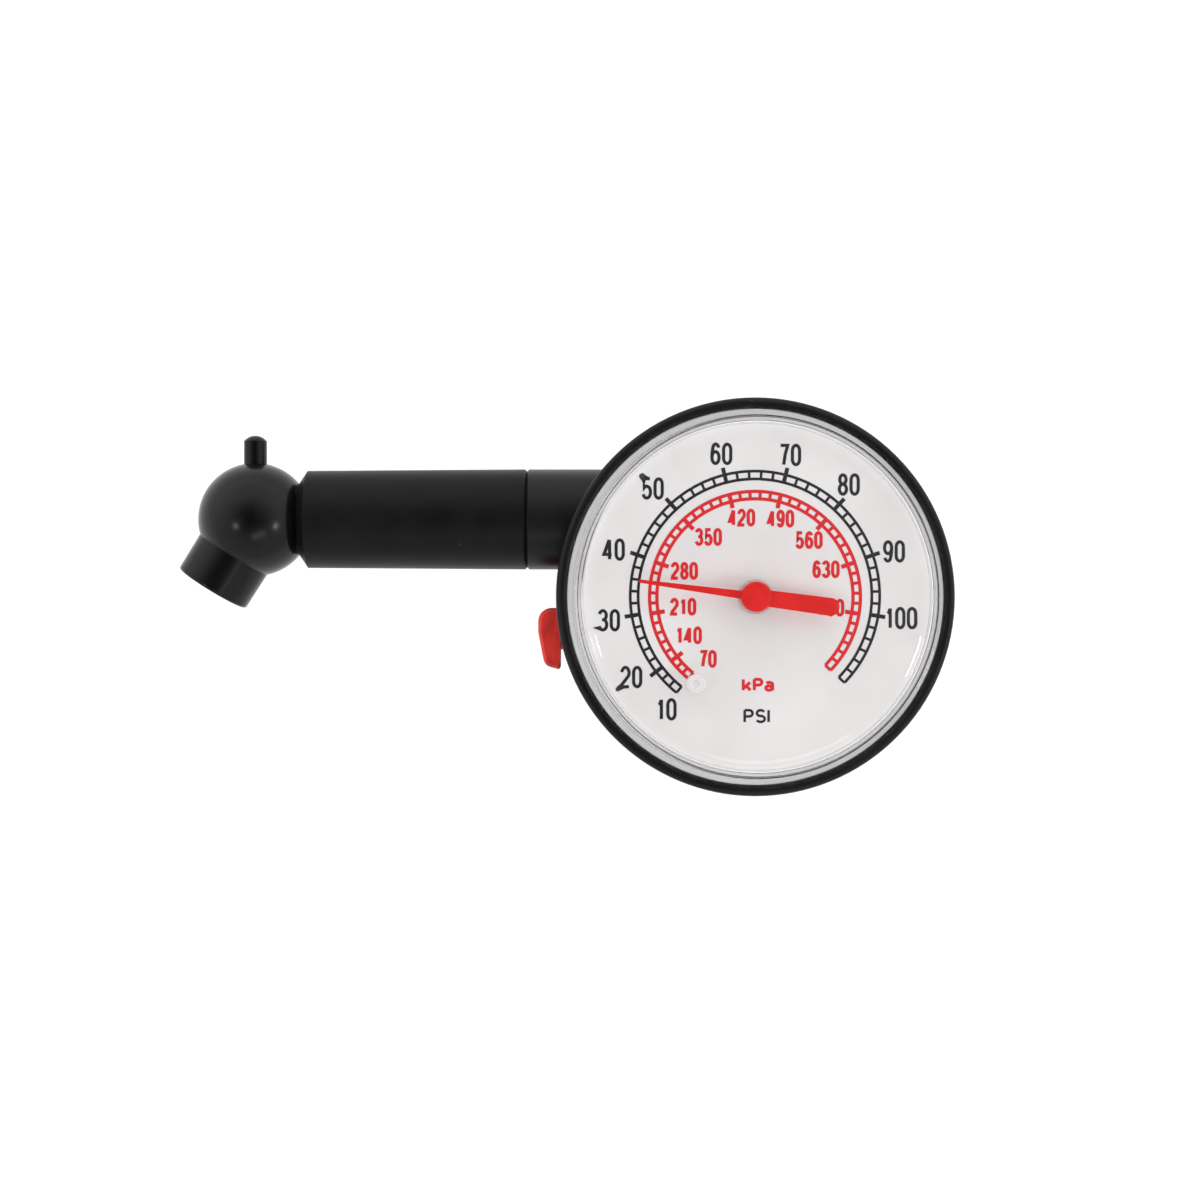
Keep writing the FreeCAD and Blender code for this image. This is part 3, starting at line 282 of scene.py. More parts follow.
def buttonPlastic(tones):
    finish = Finish("buttonPlastic")
    y = finish.axes()[1]
    flow = finish.noise(0.55, 4, where=finish.scaled(finish.where, (1.6, 0.5, 0.5)))
    fine = finish.noise(7.0, 2)
    colour = finish.mixed(finish.between(flow, 0.42, 0.68), tones["light"], tones["dark"])
    # Painted shade: the button darkens towards its foot, where shade falls
    foot = finish.between(y, tones["footShadeFrom"], tones["footShadeTo"])
    colour = finish.mixed(foot * 0.45, colour, tones["foot"])
    return finish.show(finish.shade(Base_Color=colour, Roughness=0.4 + (flow - 0.5) * 0.25,
                                    Normal=finish.bumped(fine * 0.3 + flow, 0.3, 0.04)))


# Clear plastic: real refraction to the eye, plain passage for the light that falls on the dial
def clearPlastic(name, tint, wave):
    finish = Finish(name)
    waves = finish.noise(0.12, 2)
    fine = finish.noise(1.5, 3)
    glass = finish.shade(Base_Color=tint, Roughness=0.0, IOR=1.49, Transmission_Weight=1.0,
                         Normal=finish.bumped(waves + fine * 0.02, wave, 0.05))
    through = finish.add("ShaderNodeBsdfTransparent", None, {"Color": tint}).outputs[0]
    path = finish.add("ShaderNodeLightPath")
    lamp = Signal(finish, path.outputs["Is Shadow Ray"])
    spread = Signal(finish, path.outputs["Is Diffuse Ray"])
    share = finish.maths("MAXIMUM", lamp, spread)
    both = finish.add("ShaderNodeMixShader", None, {0: share, 1: glass, 2: through}).outputs[0]
    return finish.show(both)


def palePlastic(name, dark, light, clear):
    finish = Finish(name)
    cloud = finish.noise(0.8, 3)
    colour = finish.mixed(cloud, dark, light)
    return finish.show(finish.shade(Base_Color=colour, Roughness=0.25 + (cloud - 0.5) * 0.2,
                                    Transmission_Weight=clear, IOR=1.49,
                                    Normal=finish.bumped(cloud, 0.2, 0.03)))


finishes = {
    "caseBlack": mouldedPlastic("caseBlack", (0.0045, 0.0045, 0.0044, 1),
                                (0.008, 0.0078, 0.0076, 1), 0.36, dust=0.35, gloss=1.28),
    "barrelBlack": mouldedPlastic("barrelBlack", (0.0038, 0.0038, 0.0037, 1),
                                  (0.0075, 0.0073, 0.0072, 1), 0.42, grain=8.0, peel=0.6,
                                  dust=0.5, gloss=1.22),
    "blackMetal": blackMetal(),
    "softRubber": softRubber(),
    "whitePlastic": mouldedPlastic("whitePlastic", linear(226, 225, 220), linear(238, 237, 233), 0.45,
                                   gloss=1.5),
    "brass": metal("brass", (0.78, 0.56, 0.27, 1), 0.3),
    "bronze": metal("bronze", (0.72, 0.42, 0.24, 1), 0.28),
    "steel": metal("steel", (0.6, 0.6, 0.61, 1), 0.3),
    "springSteel": metal("springSteel", (0.38, 0.4, 0.44, 1), 0.25),
    "dialPaint": dialPaint(dialTones),
    "blackInk": printInk("blackInk", (0.013, 0.014, 0.017, 1), (0.035, 0.037, 0.042, 1)),
    "redInk": printInk("redInk", linear(226, 42, 48), linear(232, 78, 82)),
    "pointerPaint": pointerPaint(),
    "buttonPlastic": buttonPlastic(buttonTones),
    "lensClear": clearPlastic("lensClear", (0.985, 0.985, 0.985, 1), 0.05),
    "pegClear": palePlastic("pegClear", linear(244, 240, 240), linear(252, 250, 250), 0.1),
    "palePlastic": palePlastic("palePlastic", linear(226, 205, 203), linear(240, 226, 224), 0.2),
}
print("finishes made:", len(finishes))

# Finish of every piece that keeps its shape from the frame

finishOf = {
    "case": "caseBlack", "barrel": "barrelBlack", "chuck_head": "blackMetal",
    "release_button": "buttonPlastic", "dial_plate": "dialPaint",
    "pointer_boss": "palePlastic", "barrel_o_ring": "softRubber", "neck_o_ring": "softRubber",
    "valve_seal": "softRubber", "release_seal": "softRubber", "depressor_pin": "brass",
    "pressure_block": "brass", "check_seat": "brass", "check_poppet": "whitePlastic",
    "release_plunger": "brass", "release_plug": "brass", "bourdon_tube": "bronze",
    "bourdon_tip": "brass", "back_plate": "brass", "front_plate": "brass", "sector_gear": "brass",
    "sector_arbor": "steel", "pinion_spindle": "steel", "link": "steel", "link_pin": "steel",
    "hairspring": "springSteel", "hairspring_collet": "brass", "hairspring_stud": "brass",
    "neck_circlip": "springSteel",
}
for name, node in nodes.items():
    kind = finishOf.get(name, "steel" if "screw" in name else "brass")
    node.data.materials.clear()
    node.data.materials.append(finishes[kind])
print("frame pieces finished")


# Mesh helpers, all in millimetres

# Turns a finished bmesh into a piece in metres
def settle(name, shape, finish, body, sharp=40):
    mesh = bpy.data.meshes.new(name)
    bmesh.ops.scale(shape, vec=(mm, mm, mm), verts=shape.verts)
    shape.to_mesh(mesh)
    shape.free()
    return register(name, mesh, finish, body, sharp)


# Makes a piece of a mesh, and hangs it on its body when it is given one
def register(name, mesh, finish, body, sharp=40):
    mesh.materials.clear()
    mesh.materials.append(finishes[finish])
    piece = bpy.data.objects.new(name, mesh)
    scene.collection.objects.link(piece)
    mesh.shade_smooth()
    mesh.set_sharp_from_angle(angle=math.radians(sharp))
    if body:
        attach(piece, body)
    return piece


# Turns a profile of (radius, level) points about the upright axis
def lathe(shape, profile, steps):
    rings = []
    turn = [2 * math.pi * step / steps for step in range(steps)]
    for radius, level in profile:
        if radius < 1e-6:
            rings.append([shape.verts.new((0, 0, level))])
            continue
        rings.append([shape.verts.new((radius * math.cos(angle), radius * math.sin(angle), level))
                      for angle in turn])
    for first, second in zip(rings, rings[1:]):
        if len(first) + len(second) == 2:
            continue
        for step in range(steps):
            after = (step + 1) % steps
            if len(first) == 1:
                shape.faces.new((first[0], second[step], second[after]))
            elif len(second) == 1:
                shape.faces.new((first[step], second[0], first[after]))
            else:
                shape.faces.new((first[step], second[step], second[after], first[after]))


# Points of an arc of an ellipse, from one angle in degrees to another
def arc(x, y, radiusX, radiusY, first, last, steps):
    angles = [math.radians(first + (last - first) * step / steps) for step in range(steps + 1)]
    return [Vector((x + radiusX * math.cos(angle), y + radiusY * math.sin(angle))) for angle in angles]


# The rounded upper edge of a turned post
def rounded(radius, high, bend):
    return [(radius - bend + bend * math.cos(math.radians(angle)),
             high - bend + bend * math.sin(math.radians(angle))) for angle in range(0, 91, 15)]


# A ribbon of even width along a flat path, as a closed solid; sharp corners are cut short
def ribbon(shape, path, width, bottom, top, closed):
    count = len(path)
    leastCosine = 0.45
    left, right = [], []
    for index, point in enumerate(path):
        before = path[index - 1] if index or closed else None
        after = path[(index + 1) % count] if index < count - 1 or closed else None
        into = (point - before).normalized() if before is not None else (after - point).normalized()
        away = (after - point).normalized() if after is not None else into
        side = Vector((-into.y - away.y, into.x + away.x)).normalized()
        reach = width / 2 / max(side.dot(Vector((-into.y, into.x))), leastCosine)
        left.append(point + side * reach)
        right.append(point - side * reach)
    corners = [[shape.verts.new((point.x, point.y, level)) for point in row]
               for level in (bottom, top) for row in (left, right)]
    lowLeft, lowRight, highLeft, highRight = corners
    for index in range(count if closed else count - 1):
        after = (index + 1) % count
        shape.faces.new((highLeft[index], highRight[index], highRight[after], highLeft[after]))
        shape.faces.new((lowLeft[index], lowLeft[after], lowRight[after], lowRight[index]))
        shape.faces.new((highLeft[index], highLeft[after], lowLeft[after], lowLeft[index]))
        shape.faces.new((highRight[index], lowRight[index], lowRight[after], highRight[after]))
    if not closed:
        shape.faces.new((highLeft[0], lowLeft[0], lowRight[0], highRight[0]))
        shape.faces.new((highLeft[-1], highRight[-1], lowRight[-1], lowLeft[-1]))


# Lettering: each figure is drawn in a box one high and one wide, later narrowed

def bowl(x, y, radiusX, radiusY, first, last):
    return arc(x, y, radiusX, radiusY, first, last, 14)


# A closed bowl, whose last point is left out because it is the first
def loop(x, y, radiusX, radiusY):
    return bowl(x, y, radiusX, radiusY, 0, 360)[:-1]


def figures():
    v = Vector
    left, right, middle = 0.0, 1.0, 0.5
    return {
        "0": [(bowl(middle, 0.72, 0.5, 0.28, 0, 180) + bowl(middle, 0.28, 0.5, 0.28, 180, 360), True)],
        "1": [([v((0.62, 0)), v((0.62, 1))], False),
              ([v((0.12, 0.74)), v((0.36, 0.79)), v((0.56, 0.98))], False)],
        "2": [(bowl(middle, 0.71, 0.5, 0.29, 172, -28) + [v((0.08, 0.14)), v((left, 0)), v((right, 0))],
               False)],
        "3": [(bowl(0.48, 0.755, 0.46, 0.245, 165, -62) + bowl(0.48, 0.27, 0.52, 0.27, 68, -165), False),
              ([v((0.36, 0.53)), v((0.62, 0.53))], False)],
        "4": [([v((right, 0.25)), v((-0.02, 0.25)), v((0.7, 1))], False),
              ([v((0.72, 1)), v((0.72, 0))], False)],
        "5": [([v((0.93, 1)), v((0.17, 1)), v((0.07, 0.5))]
               + bowl(0.47, 0.31, 0.53, 0.31, 128, -160), False)],
        "6": [(loop(middle, 0.31, 0.5, 0.31), True),
              (bowl(0.54, 0.72, 0.44, 0.28, 22, 150) + [v((0.02, 0.55)), v((0.0, 0.31))], False)],
        "7": [([v((left, 1)), v((0.98, 1)), v((0.62, 0.52)), v((0.42, 0))], False)],
        "8": [(loop(middle, 0.76, 0.44, 0.24), True), (loop(middle, 0.26, 0.5, 0.26), True)],
        "9": [(loop(middle, 0.69, 0.5, 0.31), True),
              (bowl(0.46, 0.28, 0.44, 0.28, 202, 330) + [v((0.98, 0.45)), v((1.0, 0.69))], False)],
        "k": [([v((0, 0)), v((0, 1))], False), ([v((0.95, 0.72)), v((0.1, 0.22))], False),
              ([v((0.38, 0.42)), v((1.0, 0))], False)],
        "P": [([v((0, 0)), v((0, 1))], False),
              ([v((0, 1))] + bowl(0.55, 0.735, 0.42, 0.265, 90, -90) + [v((0, 0.47))], False)],
        "a": [(bowl(0.45, 0.52, 0.42, 0.2, 150, 0) + [v((0.87, 0.1)), v((1.0, 0))], False),
              (loop(0.4, 0.2, 0.4, 0.2), True)],
        "S": [(bowl(middle, 0.75, 0.46, 0.25, 25, 250) + bowl(middle, 0.26, 0.5, 0.26, 70, -155), False)],
        "I": [([v((0.5, 0)), v((0.5, 1))], False)],
    }


figureShapes = figures()


# Strokes of one figure that cross lie at levels a hair apart
def letter(shape, text, centre, style, bottom, top):
    width, stroke = style["width"], style["stroke"]
    widths = [width * style.get("wide", {}).get(figure, 1) for figure in text]
    gap = style["gap"]
    start = centre.x - (sum(widths) + gap * (len(text) - 1)) / 2
    for figure, reach in zip(text, widths):
        for layer, (path, closed) in enumerate(figureShapes[figure]):
            points = [Vector((start + stroke / 2 + point.x * (reach - stroke),
                              centre.y - style["height"] / 2 + stroke / 2
                              + point.y * (style["height"] - stroke))) for point in path]
            ribbon(shape, points, stroke, bottom, top + printing["layer"] * layer, closed)
        start += reach + gap


# Dial printing

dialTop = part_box("dial_plate")[1].z / mm
printing = {"lift": 0.01, "thick": 0.02, "layer": 0.004, "first": 217.5, "perTen": 28.35,
            "stripStart": 231.0, "stripEnd": -44.2, "ticks": 41, "majors": 9, "ticksPerMajor": 5,
            "ticksBefore": 3, "ticksAfter": 6, "tickRise": 0.8, "majorRise": 1.2, "railSteps": 200,
            "across": -0.12, "along": 0.09}

blackScale = {"inner": 17.58, "outer": 18.76, "line": 0.4, "rail": 0.42, "major": 0.6, "rise": 0.15,
              "majorInner": 17.46, "majorOuter": 19.85}
redScale = {"inner": 14.75, "outer": 15.86, "line": 0.48, "rail": 0.5, "major": 0.64, "rise": 0.0,
            "majorInner": 13.75, "majorOuter": 16.05}


# Ticks set out round the dial's centre: rows of boxes between two rails. The tops of the short
# ticks lie a hair below the rails, and those of the long ones a hair above
def scaleTree():
    tree = bpy.data.node_groups.new("scaleRing", "GeometryNodeTree")
    face = tree.interface
    face.new_socket("Geometry", in_out="OUTPUT", socket_type="NodeSocketGeometry")
    for name in ("Inner radius", "Outer radius", "Line width", "Rail width", "Level", "Thickness",
                 "First angle", "Step", "Strip start", "Strip end", "Major width", "Major inner",
                 "Major outer"):
        face.new_socket(name, in_out="INPUT", socket_type="NodeSocketFloat")
    for name in ("Ticks", "Majors", "Ticks before", "Ticks after"):
        face.new_socket(name, in_out="INPUT", socket_type="NodeSocketInt")
    face.new_socket("Ink", in_out="INPUT", socket_type="NodeSocketMaterial")
    sheet = NodeSheet(tree)
    given = sheet.add("NodeGroupInput")
    ask = {socket.name: Signal(sheet, socket) for socket in given.outputs if socket.name}

    def row(count, first, step, inner, outer, width, rise):
        index = Signal(sheet, sheet.add("GeometryNodeInputIndex").outputs[0])
        angle = first + step * index
        middle = (inner + outer) * 0.5
        thick = ask["Thickness"] * rise
        spot = sheet.vector(sheet.maths("COSINE", angle) * middle, sheet.maths("SINE", angle) * middle,
                            ask["Level"] + thick * 0.5)
        points = sheet.add("GeometryNodePoints", None, {"Count": count, "Position": spot})
        block = sheet.add("GeometryNodeMeshCube", None,
                          {"Size": sheet.vector(outer - inner, width, thick)})
        return sheet.add("GeometryNodeInstanceOnPoints", None, {
            "Points": points.outputs[0], "Instance": block.outputs[0],
            "Rotation": sheet.vector(0.0, 0.0, angle)}).outputs[0]

    def rail(radius):
        curve = sheet.add("GeometryNodeCurveArc", None, {
            "Resolution": printing["railSteps"], "Radius": radius, "Start Angle": ask["Strip start"],
            "Sweep Angle": ask["Strip end"] - ask["Strip start"]})
        section = sheet.add("GeometryNodeCurvePrimitiveQuadrilateral", None, {
            "Width": ask["Rail width"], "Height": ask["Thickness"]})
        sweep = sheet.add("GeometryNodeCurveToMesh", None, {
            "Curve": curve.outputs[0], "Profile Curve": section.outputs[0], "Fill Caps": True})
        lift = sheet.vector(0.0, 0.0, ask["Level"] + ask["Thickness"] * 0.5)
        return sheet.add("GeometryNodeTransform", None, {
            "Geometry": sweep.outputs[0], "Translation": lift}).outputs[0]

    inner, outer, line = ask["Inner radius"], ask["Outer radius"], ask["Line width"]
    step, perMajor = ask["Step"], printing["ticksPerMajor"]
    low, high = printing["tickRise"], printing["majorRise"]
    lastMajor = ask["First angle"] + step * perMajor * (ask["Majors"] - 1)
    before = (ask["Strip start"] - ask["First angle"]) / ask["Ticks before"]
    after = (ask["Strip end"] - lastMajor) / ask["Ticks after"]
    parts = [
        row(ask["Ticks"].socket, ask["First angle"], step, inner, outer, line, low),
        row(ask["Ticks before"].socket, ask["First angle"] + before, before, inner, outer, line, low),
        row(ask["Ticks after"].socket, lastMajor + after, after, inner, outer, line, low),
        row(ask["Majors"].socket, ask["First angle"], step * perMajor, ask["Major inner"],
            ask["Major outer"], ask["Major width"], high),
        rail(inner), rail(outer),
    ]
    joined = sheet.add("GeometryNodeJoinGeometry")
    for part in parts:
        tree.links.new(part, joined.inputs[0])
    real = sheet.add("GeometryNodeRealizeInstances", None, {0: joined.outputs[0]})
    inked = sheet.add("GeometryNodeSetMaterial", None, {
        "Geometry": real.outputs[0], "Material": ask["Ink"].socket})
    sheet.add("NodeGroupOutput", None, {0: inked.outputs[0]})
    return tree


# The plain mesh that a tree grows with these inputs
def grown(name, tree, inputs):
    holder = bpy.data.objects.new(name + "Holder", bpy.data.meshes.new(name + "Holder"))
    scene.collection.objects.link(holder)
    modifier = holder.modifiers.new("grow", "NODES")
    modifier.node_group = tree
    for item in tree.interface.items_tree:
        if item.item_type == "SOCKET" and item.in_out == "INPUT":
            modifier[item.identifier] = inputs[item.name]
    graph = bpy.context.evaluated_depsgraph_get()
    mesh = bpy.data.meshes.new_from_object(holder.evaluated_get(graph))
    bpy.data.objects.remove(holder)
    return mesh


ringTree = scaleTree()
for name, sizes, ink in (("blackScale", blackScale, "blackInk"), ("redScale", redScale, "redInk")):
    mesh = grown(name, ringTree, {
        "Inner radius": sizes["inner"] * mm, "Outer radius": sizes["outer"] * mm,
        "Line width": sizes["line"] * mm, "Rail width": sizes["rail"] * mm,
        "Level": (dialTop + printing["lift"]) * mm, "Thickness": printing["thick"] * mm,
        "First angle": math.radians(printing["first"]),
        "Step": -math.radians(printing["perTen"] / printing["ticksPerMajor"]),
        "Strip start": math.radians(printing["stripStart"]),
        "Strip end": math.radians(printing["stripEnd"]),
        "Major width": sizes["major"] * mm, "Major inner": sizes["majorInner"] * mm,
        "Major outer": sizes["majorOuter"] * mm,
        "Ticks": printing["ticks"], "Majors": printing["majors"],
        "Ticks before": printing["ticksBefore"], "Ticks after": printing["ticksAfter"],
        "Ink": finishes[ink],
    })
    mesh.transform(Matrix.Translation((0, sizes["rise"] * mm, 0)))
    register(name, mesh, ink, "case_body", sharp=30)

bigFigures = {"height": 3.38, "width": 1.56, "gap": 0.2, "stroke": 0.48, "wide": {"1": 0.8}}
smallFigures = {"height": 2.69, "width": 1.3, "gap": 0.1, "stroke": 0.49, "wide": {"1": 0.88}}
unitBold = {"height": 2.1, "width": 1.62, "gap": 0.12, "stroke": 0.46, "wide": {"k": 0.95}}
unitPlain = {"height": 2.15, "width": 1.6, "gap": 0.2, "stroke": 0.38, "wide": {"I": 0.24}}

# Middle of each number; "across" and "along" move them all together
bigNumbers = {"10": (-13.17, -17.02), "20": (-18.48, -12.16), "30": (-21.84, -3.62),
              "40": (-21.11, 7.01), "50": (-15.25, 16.20), "60": (-4.94, 21.41), "70": (5.41, 21.24),
              "80": (14.23, 16.80), "90": (21.02, 6.74), "100": (22.13, -3.29)}
smallNumbers = {"70": (-6.98, -9.43), "140": (-9.83, -5.88), "210": (-10.68, -1.58),
                "280": (-10.50, 3.82), "350": (-6.89, 8.91), "420": (-1.89, 11.82),
                "490": (3.98, 11.67), "560": (8.26, 8.44), "630": (10.81, 4.05), "700": (11.51, -1.72)}
unitRed = {"kPa": (0.64, -13.32)}
unitBlack = {"PSI": (0.37, -18.03)}

printLow = dialTop + printing["lift"]
printHigh = printLow + printing["thick"]
for name, numbers, style, ink in (("bigNumbers", bigNumbers, bigFigures, "blackInk"),
                                  ("smallNumbers", smallNumbers, smallFigures, "redInk"),
                                  ("unitRed", unitRed, unitBold, "redInk"),
                                  ("unitBlack", unitBlack, unitPlain, "blackInk")):
    shape = bmesh.new()
    for text, (x, y) in numbers.items():
        middle = Vector((x + printing["across"], y + printing["along"]))
        letter(shape, text, middle, style, printLow, printHigh)
    settle(name, shape, ink, "case_body", sharp=30)
print("dial printed")

# Lens: one turned shell with softened corners

lensSizes = {"flange": 28.3, "shelf": 1.5, "wall": 27.3, "thick": 1.3, "domeRise": 1.8,
             "outerRound": 3.8, "innerRound": 1.3, "edge": 0.12, "lip": 0.5, "foot": 0.2,
             "shy": 0.002, "cornerSteps": 20, "crownSteps": 26, "steps": 240}


def lensProfile(sizes):
    low, high = (corner.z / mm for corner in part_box("lens"))
    high -= sizes["shy"]
    wall, thick, rise = sizes["wall"], sizes["thick"], sizes["domeRise"]
    shelf = low + sizes["shelf"]
    sphere = (wall ** 2 + rise ** 2) / (2 * rise)
    core = high - sphere

    # Corner and crown of the dome, from the wall up to the middle
    def dome(inset, bend):
        radius, reach = sphere - inset, wall - inset
        level = core + math.sqrt((radius - bend) ** 2 - (reach - bend) ** 2)
        lean = math.degrees(math.atan2(level - core, reach - bend))
        corners, crowns = sizes["cornerSteps"], sizes["crownSteps"]
        corner = [(reach - bend + bend * math.cos(math.radians(angle)),
                   level + bend * math.sin(math.radians(angle)))
                  for angle in [lean * step / corners for step in range(corners + 1)]]
        crown = [(radius * math.cos(math.radians(angle)), core + radius * math.sin(math.radians(angle)))
                 for angle in [lean + (90 - lean) * step / crowns for step in range(1, crowns)]]
        return corner + crown + [(0, core + radius)]

    edge, foot, flange, lip = sizes["edge"], sizes["foot"], sizes["flange"], sizes["lip"]
    outside = [(flange - edge, low), (flange, low + edge)]
    outside += [(flange - lip + lip * math.cos(math.radians(angle)),
                 shelf - lip + lip * math.sin(math.radians(angle))) for angle in range(0, 91, 10)]
    outside += [(wall + foot, shelf)]
    outside += [(wall + foot - foot * math.sin(math.radians(angle)),
                 shelf + foot - foot * math.cos(math.radians(angle))) for angle in (30, 60, 90)]
    inside = dome(thick, sizes["innerRound"])[::-1]
    return outside + dome(0, sizes["outerRound"]) + inside + [(wall - thick, low + edge),
                                                              (wall - thick + edge, low)]


shape = bmesh.new()
profile = lensProfile(lensSizes)
lathe(shape, profile + profile[:1], lensSizes["steps"])
bmesh.ops.remove_doubles(shape, verts=shape.verts, dist=1e-5)
bmesh.ops.recalc_face_normals(shape, faces=shape.faces)
lens = settle("lensShell", shape, "lensClear", "case_body", sharp=50)
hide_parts("lens")
print("lens turned")

# Pointer: flat blade with a turned hub, one solid with soft edges

pointerSizes = {"tip": 17.8, "tail": 12.55, "root": 0.675, "point": 0.25, "tailRoot": 1.22,
                "tailHalf": 1.35, "thick": 0.6, "hub": 2.25, "hubLow": 19.8, "hubTop": 21.8,
                "level": 20.0, "bore": 0.75, "cap": 0.5, "soft": 0.12, "angle": 172.3, "taper": 0.3,
                "hubRound": 0.35, "hubEdge": 0.1, "steps": 72, "softSteps": 3, "softAngle": 50}


def pointerPiece(sizes):
    blade = bmesh.new()
    neck = sizes["tip"] - sizes["taper"]
    outline = [Vector((neck, -sizes["point"])), Vector((sizes["tip"], 0)),
               Vector((neck, sizes["point"])), Vector((0, sizes["root"])),
               Vector((0, sizes["tailRoot"]))]
    outline += arc(-sizes["tail"] + sizes["tailHalf"], 0, sizes["tailHalf"], sizes["tailHalf"], 90, 270, 16)
    outline += [Vector((0, -sizes["tailRoot"])), Vector((0, -sizes["root"]))]
    turn = Matrix.Rotation(math.radians(sizes["angle"]), 4, "Z")
    base = [blade.verts.new(turn @ Vector((point.x, point.y, sizes["level"]))) for point in outline]
    face = blade.faces.new(base)
    raised = bmesh.ops.extrude_face_region(blade, geom=[face])
    for item in raised["geom"]:
        if isinstance(item, bmesh.types.BMVert):
            item.co.z += sizes["thick"]
    bmesh.ops.recalc_face_normals(blade, faces=blade.faces)
    hub = bmesh.new()
    low, high, radius = sizes["hubLow"], sizes["hubTop"], sizes["hub"]
    bore, cap, bend, edge = sizes["bore"], sizes["cap"], sizes["hubRound"], sizes["hubEdge"]
    profile = [(0, high - cap), (bore, high - cap), (bore, low), (radius - edge, low), (radius, low + edge)]
    profile += rounded(radius, high, bend) + [(0, high)]
    lathe(hub, profile, sizes["steps"])
    bmesh.ops.remove_doubles(hub, verts=hub.verts, dist=1e-5)
    bmesh.ops.recalc_face_normals(hub, faces=hub.faces)
    objects = []
    for shape in (blade, hub):
        bmesh.ops.scale(shape, vec=(mm, mm, mm), verts=shape.verts)
        mesh = bpy.data.meshes.new("pointerPart")
        shape.to_mesh(mesh)
        shape.free()
        part = bpy.data.objects.new("pointerPart", mesh)
        scene.collection.objects.link(part)
        objects.append(part)
    union = objects[0].modifiers.new("join", "BOOLEAN")
    union.operation = "UNION"
    union.object = objects[1]
    union.solver = "EXACT"
    bevel = objects[0].modifiers.new("soften", "BEVEL")
    bevel.width = sizes["soft"] * mm
    bevel.segments = sizes["softSteps"]
    bevel.limit_method = "ANGLE"
    bevel.angle_limit = math.radians(sizes["softAngle"])
    graph = bpy.context.evaluated_depsgraph_get()
    mesh = bpy.data.meshes.new_from_object(objects[0].evaluated_get(graph))
    for part in objects:
        bpy.data.objects.remove(part)
    return mesh


pointer = register("needle", pointerPiece(pointerSizes), "pointerPaint", "pointer_body")
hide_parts("pointer")
print("pointer made")

# Stop peg: a short post with a shallow dimple in its top

pegSizes = {"radius": 1.42, "stem": 1.0, "edge": 0.22, "dimple": 0.62, "deep": 0.22, "slope": 0.16,
            "soft": 0.05, "steps": 64}


def pegShape(sizes):
    low, high = (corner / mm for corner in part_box("stop_pin"))
    radius, stem, dimple, soft = sizes["radius"], sizes["stem"], sizes["dimple"], sizes["soft"]
    hollow = high.z - sizes["deep"]
    profile = [(0, low.z), (stem, low.z), (stem, dialTop - soft), (radius, dialTop - soft)]
    profile += rounded(radius, high.z, sizes["edge"])
    profile += [(dimple + soft, high.z), (dimple, high.z - soft),
                (dimple - sizes["slope"], hollow), (0, hollow)]
    shape = bmesh.new()
    lathe(shape, profile, sizes["steps"])
    bmesh.ops.translate(shape, vec=((low.x + high.x) / 2, (low.y + high.y) / 2, 0), verts=shape.verts)
    bmesh.ops.recalc_face_normals(shape, faces=shape.faces)
    return shape


peg = settle("peg", pegShape(pegSizes), "pegClear", "case_body")
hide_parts("stop_pin")
print("peg turned")

# Coil springs: the frame's own coils, between the case and the piece they press on, copied as pieces that
# ride no body

coilSprings = {
    "releaseCoil": {"node": "release_spring", "pressing": "button_body"},
    "checkCoil": {"node": "check_spring", "pressing": "poppet_body"},
}
for name, sizes in coilSprings.items():
    node = nodes[sizes["node"]]
    mesh = node.data.copy()
    mesh.transform(node.matrix_world)
    coil = register(name, mesh, "springSteel", None, sharp=60)
    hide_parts(sizes["node"])
    low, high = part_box(sizes["node"])
    middle = (low + high) / 2
    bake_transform(coil)
print("springs wound")

# Floor and studio light

studio = {"floorSize": 6.0, "floorGap": 0.00005, "floorGlow": 0.93, "floorShade": 0.28, "zenith": 0.08,
          "north": 1.9, "south": 1.15, "lean": 0.9, "shade": 0.25, "aim": (-0.02, 0, 0.01)}

# The floor bounces light as a pale sheet, and reads as white to the eye, in gloss and through glass
floorFinish = Finish("paleFloor")
grain = floorFinish.noise(0.05, 2)
tone = floorFinish.mixed(grain, (0.8, 0.8, 0.8, 1), (0.84, 0.84, 0.84, 1))
bounce = floorFinish.add("ShaderNodeBsdfDiffuse", None, {"Color": tone}).outputs[0]
shadowed = floorFinish.add("ShaderNodeBsdfDiffuse", None, {
    "Color": (studio["floorShade"],) * 3 + (1,)}).outputs[0]
glow = floorFinish.add("ShaderNodeEmission", None, {"Strength": studio["floorGlow"]}).outputs[0]
seen = floorFinish.add("ShaderNodeAddShader", None, {0: shadowed, 1: glow}).outputs[0]
path = floorFinish.add("ShaderNodeLightPath")
rays = [Signal(floorFinish, path.outputs[name])
        for name in ("Is Camera Ray", "Is Glossy Ray", "Is Transmission Ray")]
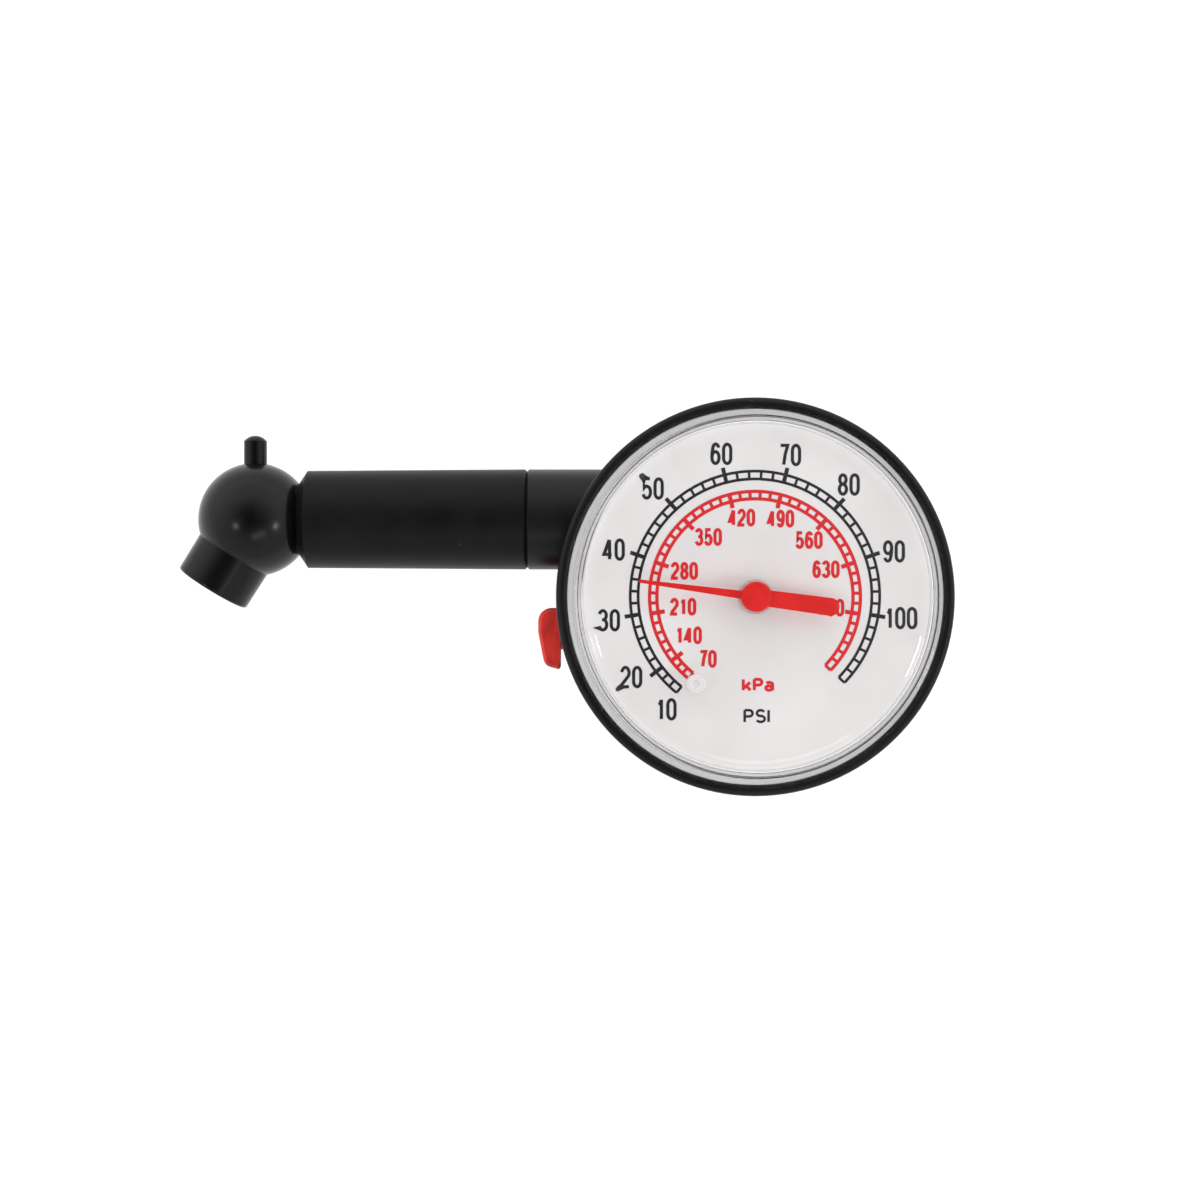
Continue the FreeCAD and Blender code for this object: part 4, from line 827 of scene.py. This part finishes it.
share = floorFinish.maths("MAXIMUM", floorFinish.maths("MAXIMUM", rays[0], rays[1]), rays[2])
floorFinish.show(floorFinish.add("ShaderNodeMixShader", None, {0: share, 1: bounce, 2: seen}).outputs[0])

half = studio["floorSize"] / 2
floorMesh = bpy.data.meshes.new("floor")
floorMesh.from_pydata([(east * half, north * half, -studio["floorGap"])
                       for east, north in ((-1, -1), (1, -1), (1, 1), (-1, 1))], [], [(0, 1, 2, 3)])
floorMesh.materials.append(floorFinish.material)
floor = bpy.data.objects.new("floor", floorMesh)
scene.collection.objects.link(floor)

# Soft light all round, dim overhead so that the lens shows no glare
world = bpy.data.worlds.new("studio")
world.use_nodes = True
scene.world = world
sky = NodeSheet(world.node_tree)
sky.tree.nodes.clear()
facing = sky.add("ShaderNodeTexCoord").outputs["Generated"]
east, north, up = [Signal(sky, socket) for socket in
                   sky.add("ShaderNodeSeparateXYZ", None, {0: facing}).outputs]
ahead = sky.maths("SMOOTH_MIN", 1 - up, studio["shade"], clamp=True) * (1 / studio["shade"])
towards = sky.maths("ADD", north * studio["lean"], 0.5, clamp=True)
strength = studio["zenith"] + ahead * (studio["south"] + towards * (studio["north"] - studio["south"]))
softLight = sky.add("ShaderNodeBackground", None, {"Strength": strength}).outputs[0]
sky.add("ShaderNodeOutputWorld", None, {"Surface": softLight})

lamps = {
    "lampSouth": {"spot": (0.08, -0.33, 0.5), "size": (0.32, 0.14), "power": 0.25},
    "lampEast": {"spot": (0.4, -0.14, 0.4), "size": (0.1, 0.06), "power": 0.35},
    "lampWest": {"spot": (-0.38, -0.13, 0.5), "size": (0.06, 0.05), "power": 0.22},
}
for name, sizes in lamps.items():
    lamp = bpy.data.lights.new(name, "AREA")
    lamp.shape = "RECTANGLE"
    lamp.size, lamp.size_y = sizes["size"]
    lamp.energy = sizes["power"]
    holder = bpy.data.objects.new(name, lamp)
    holder.location = sizes["spot"]
    aim = Vector(studio["aim"]) - holder.location
    holder.rotation_euler = aim.to_track_quat("-Z", "Y").to_euler()
    scene.collection.objects.link(holder)
print("studio lit")
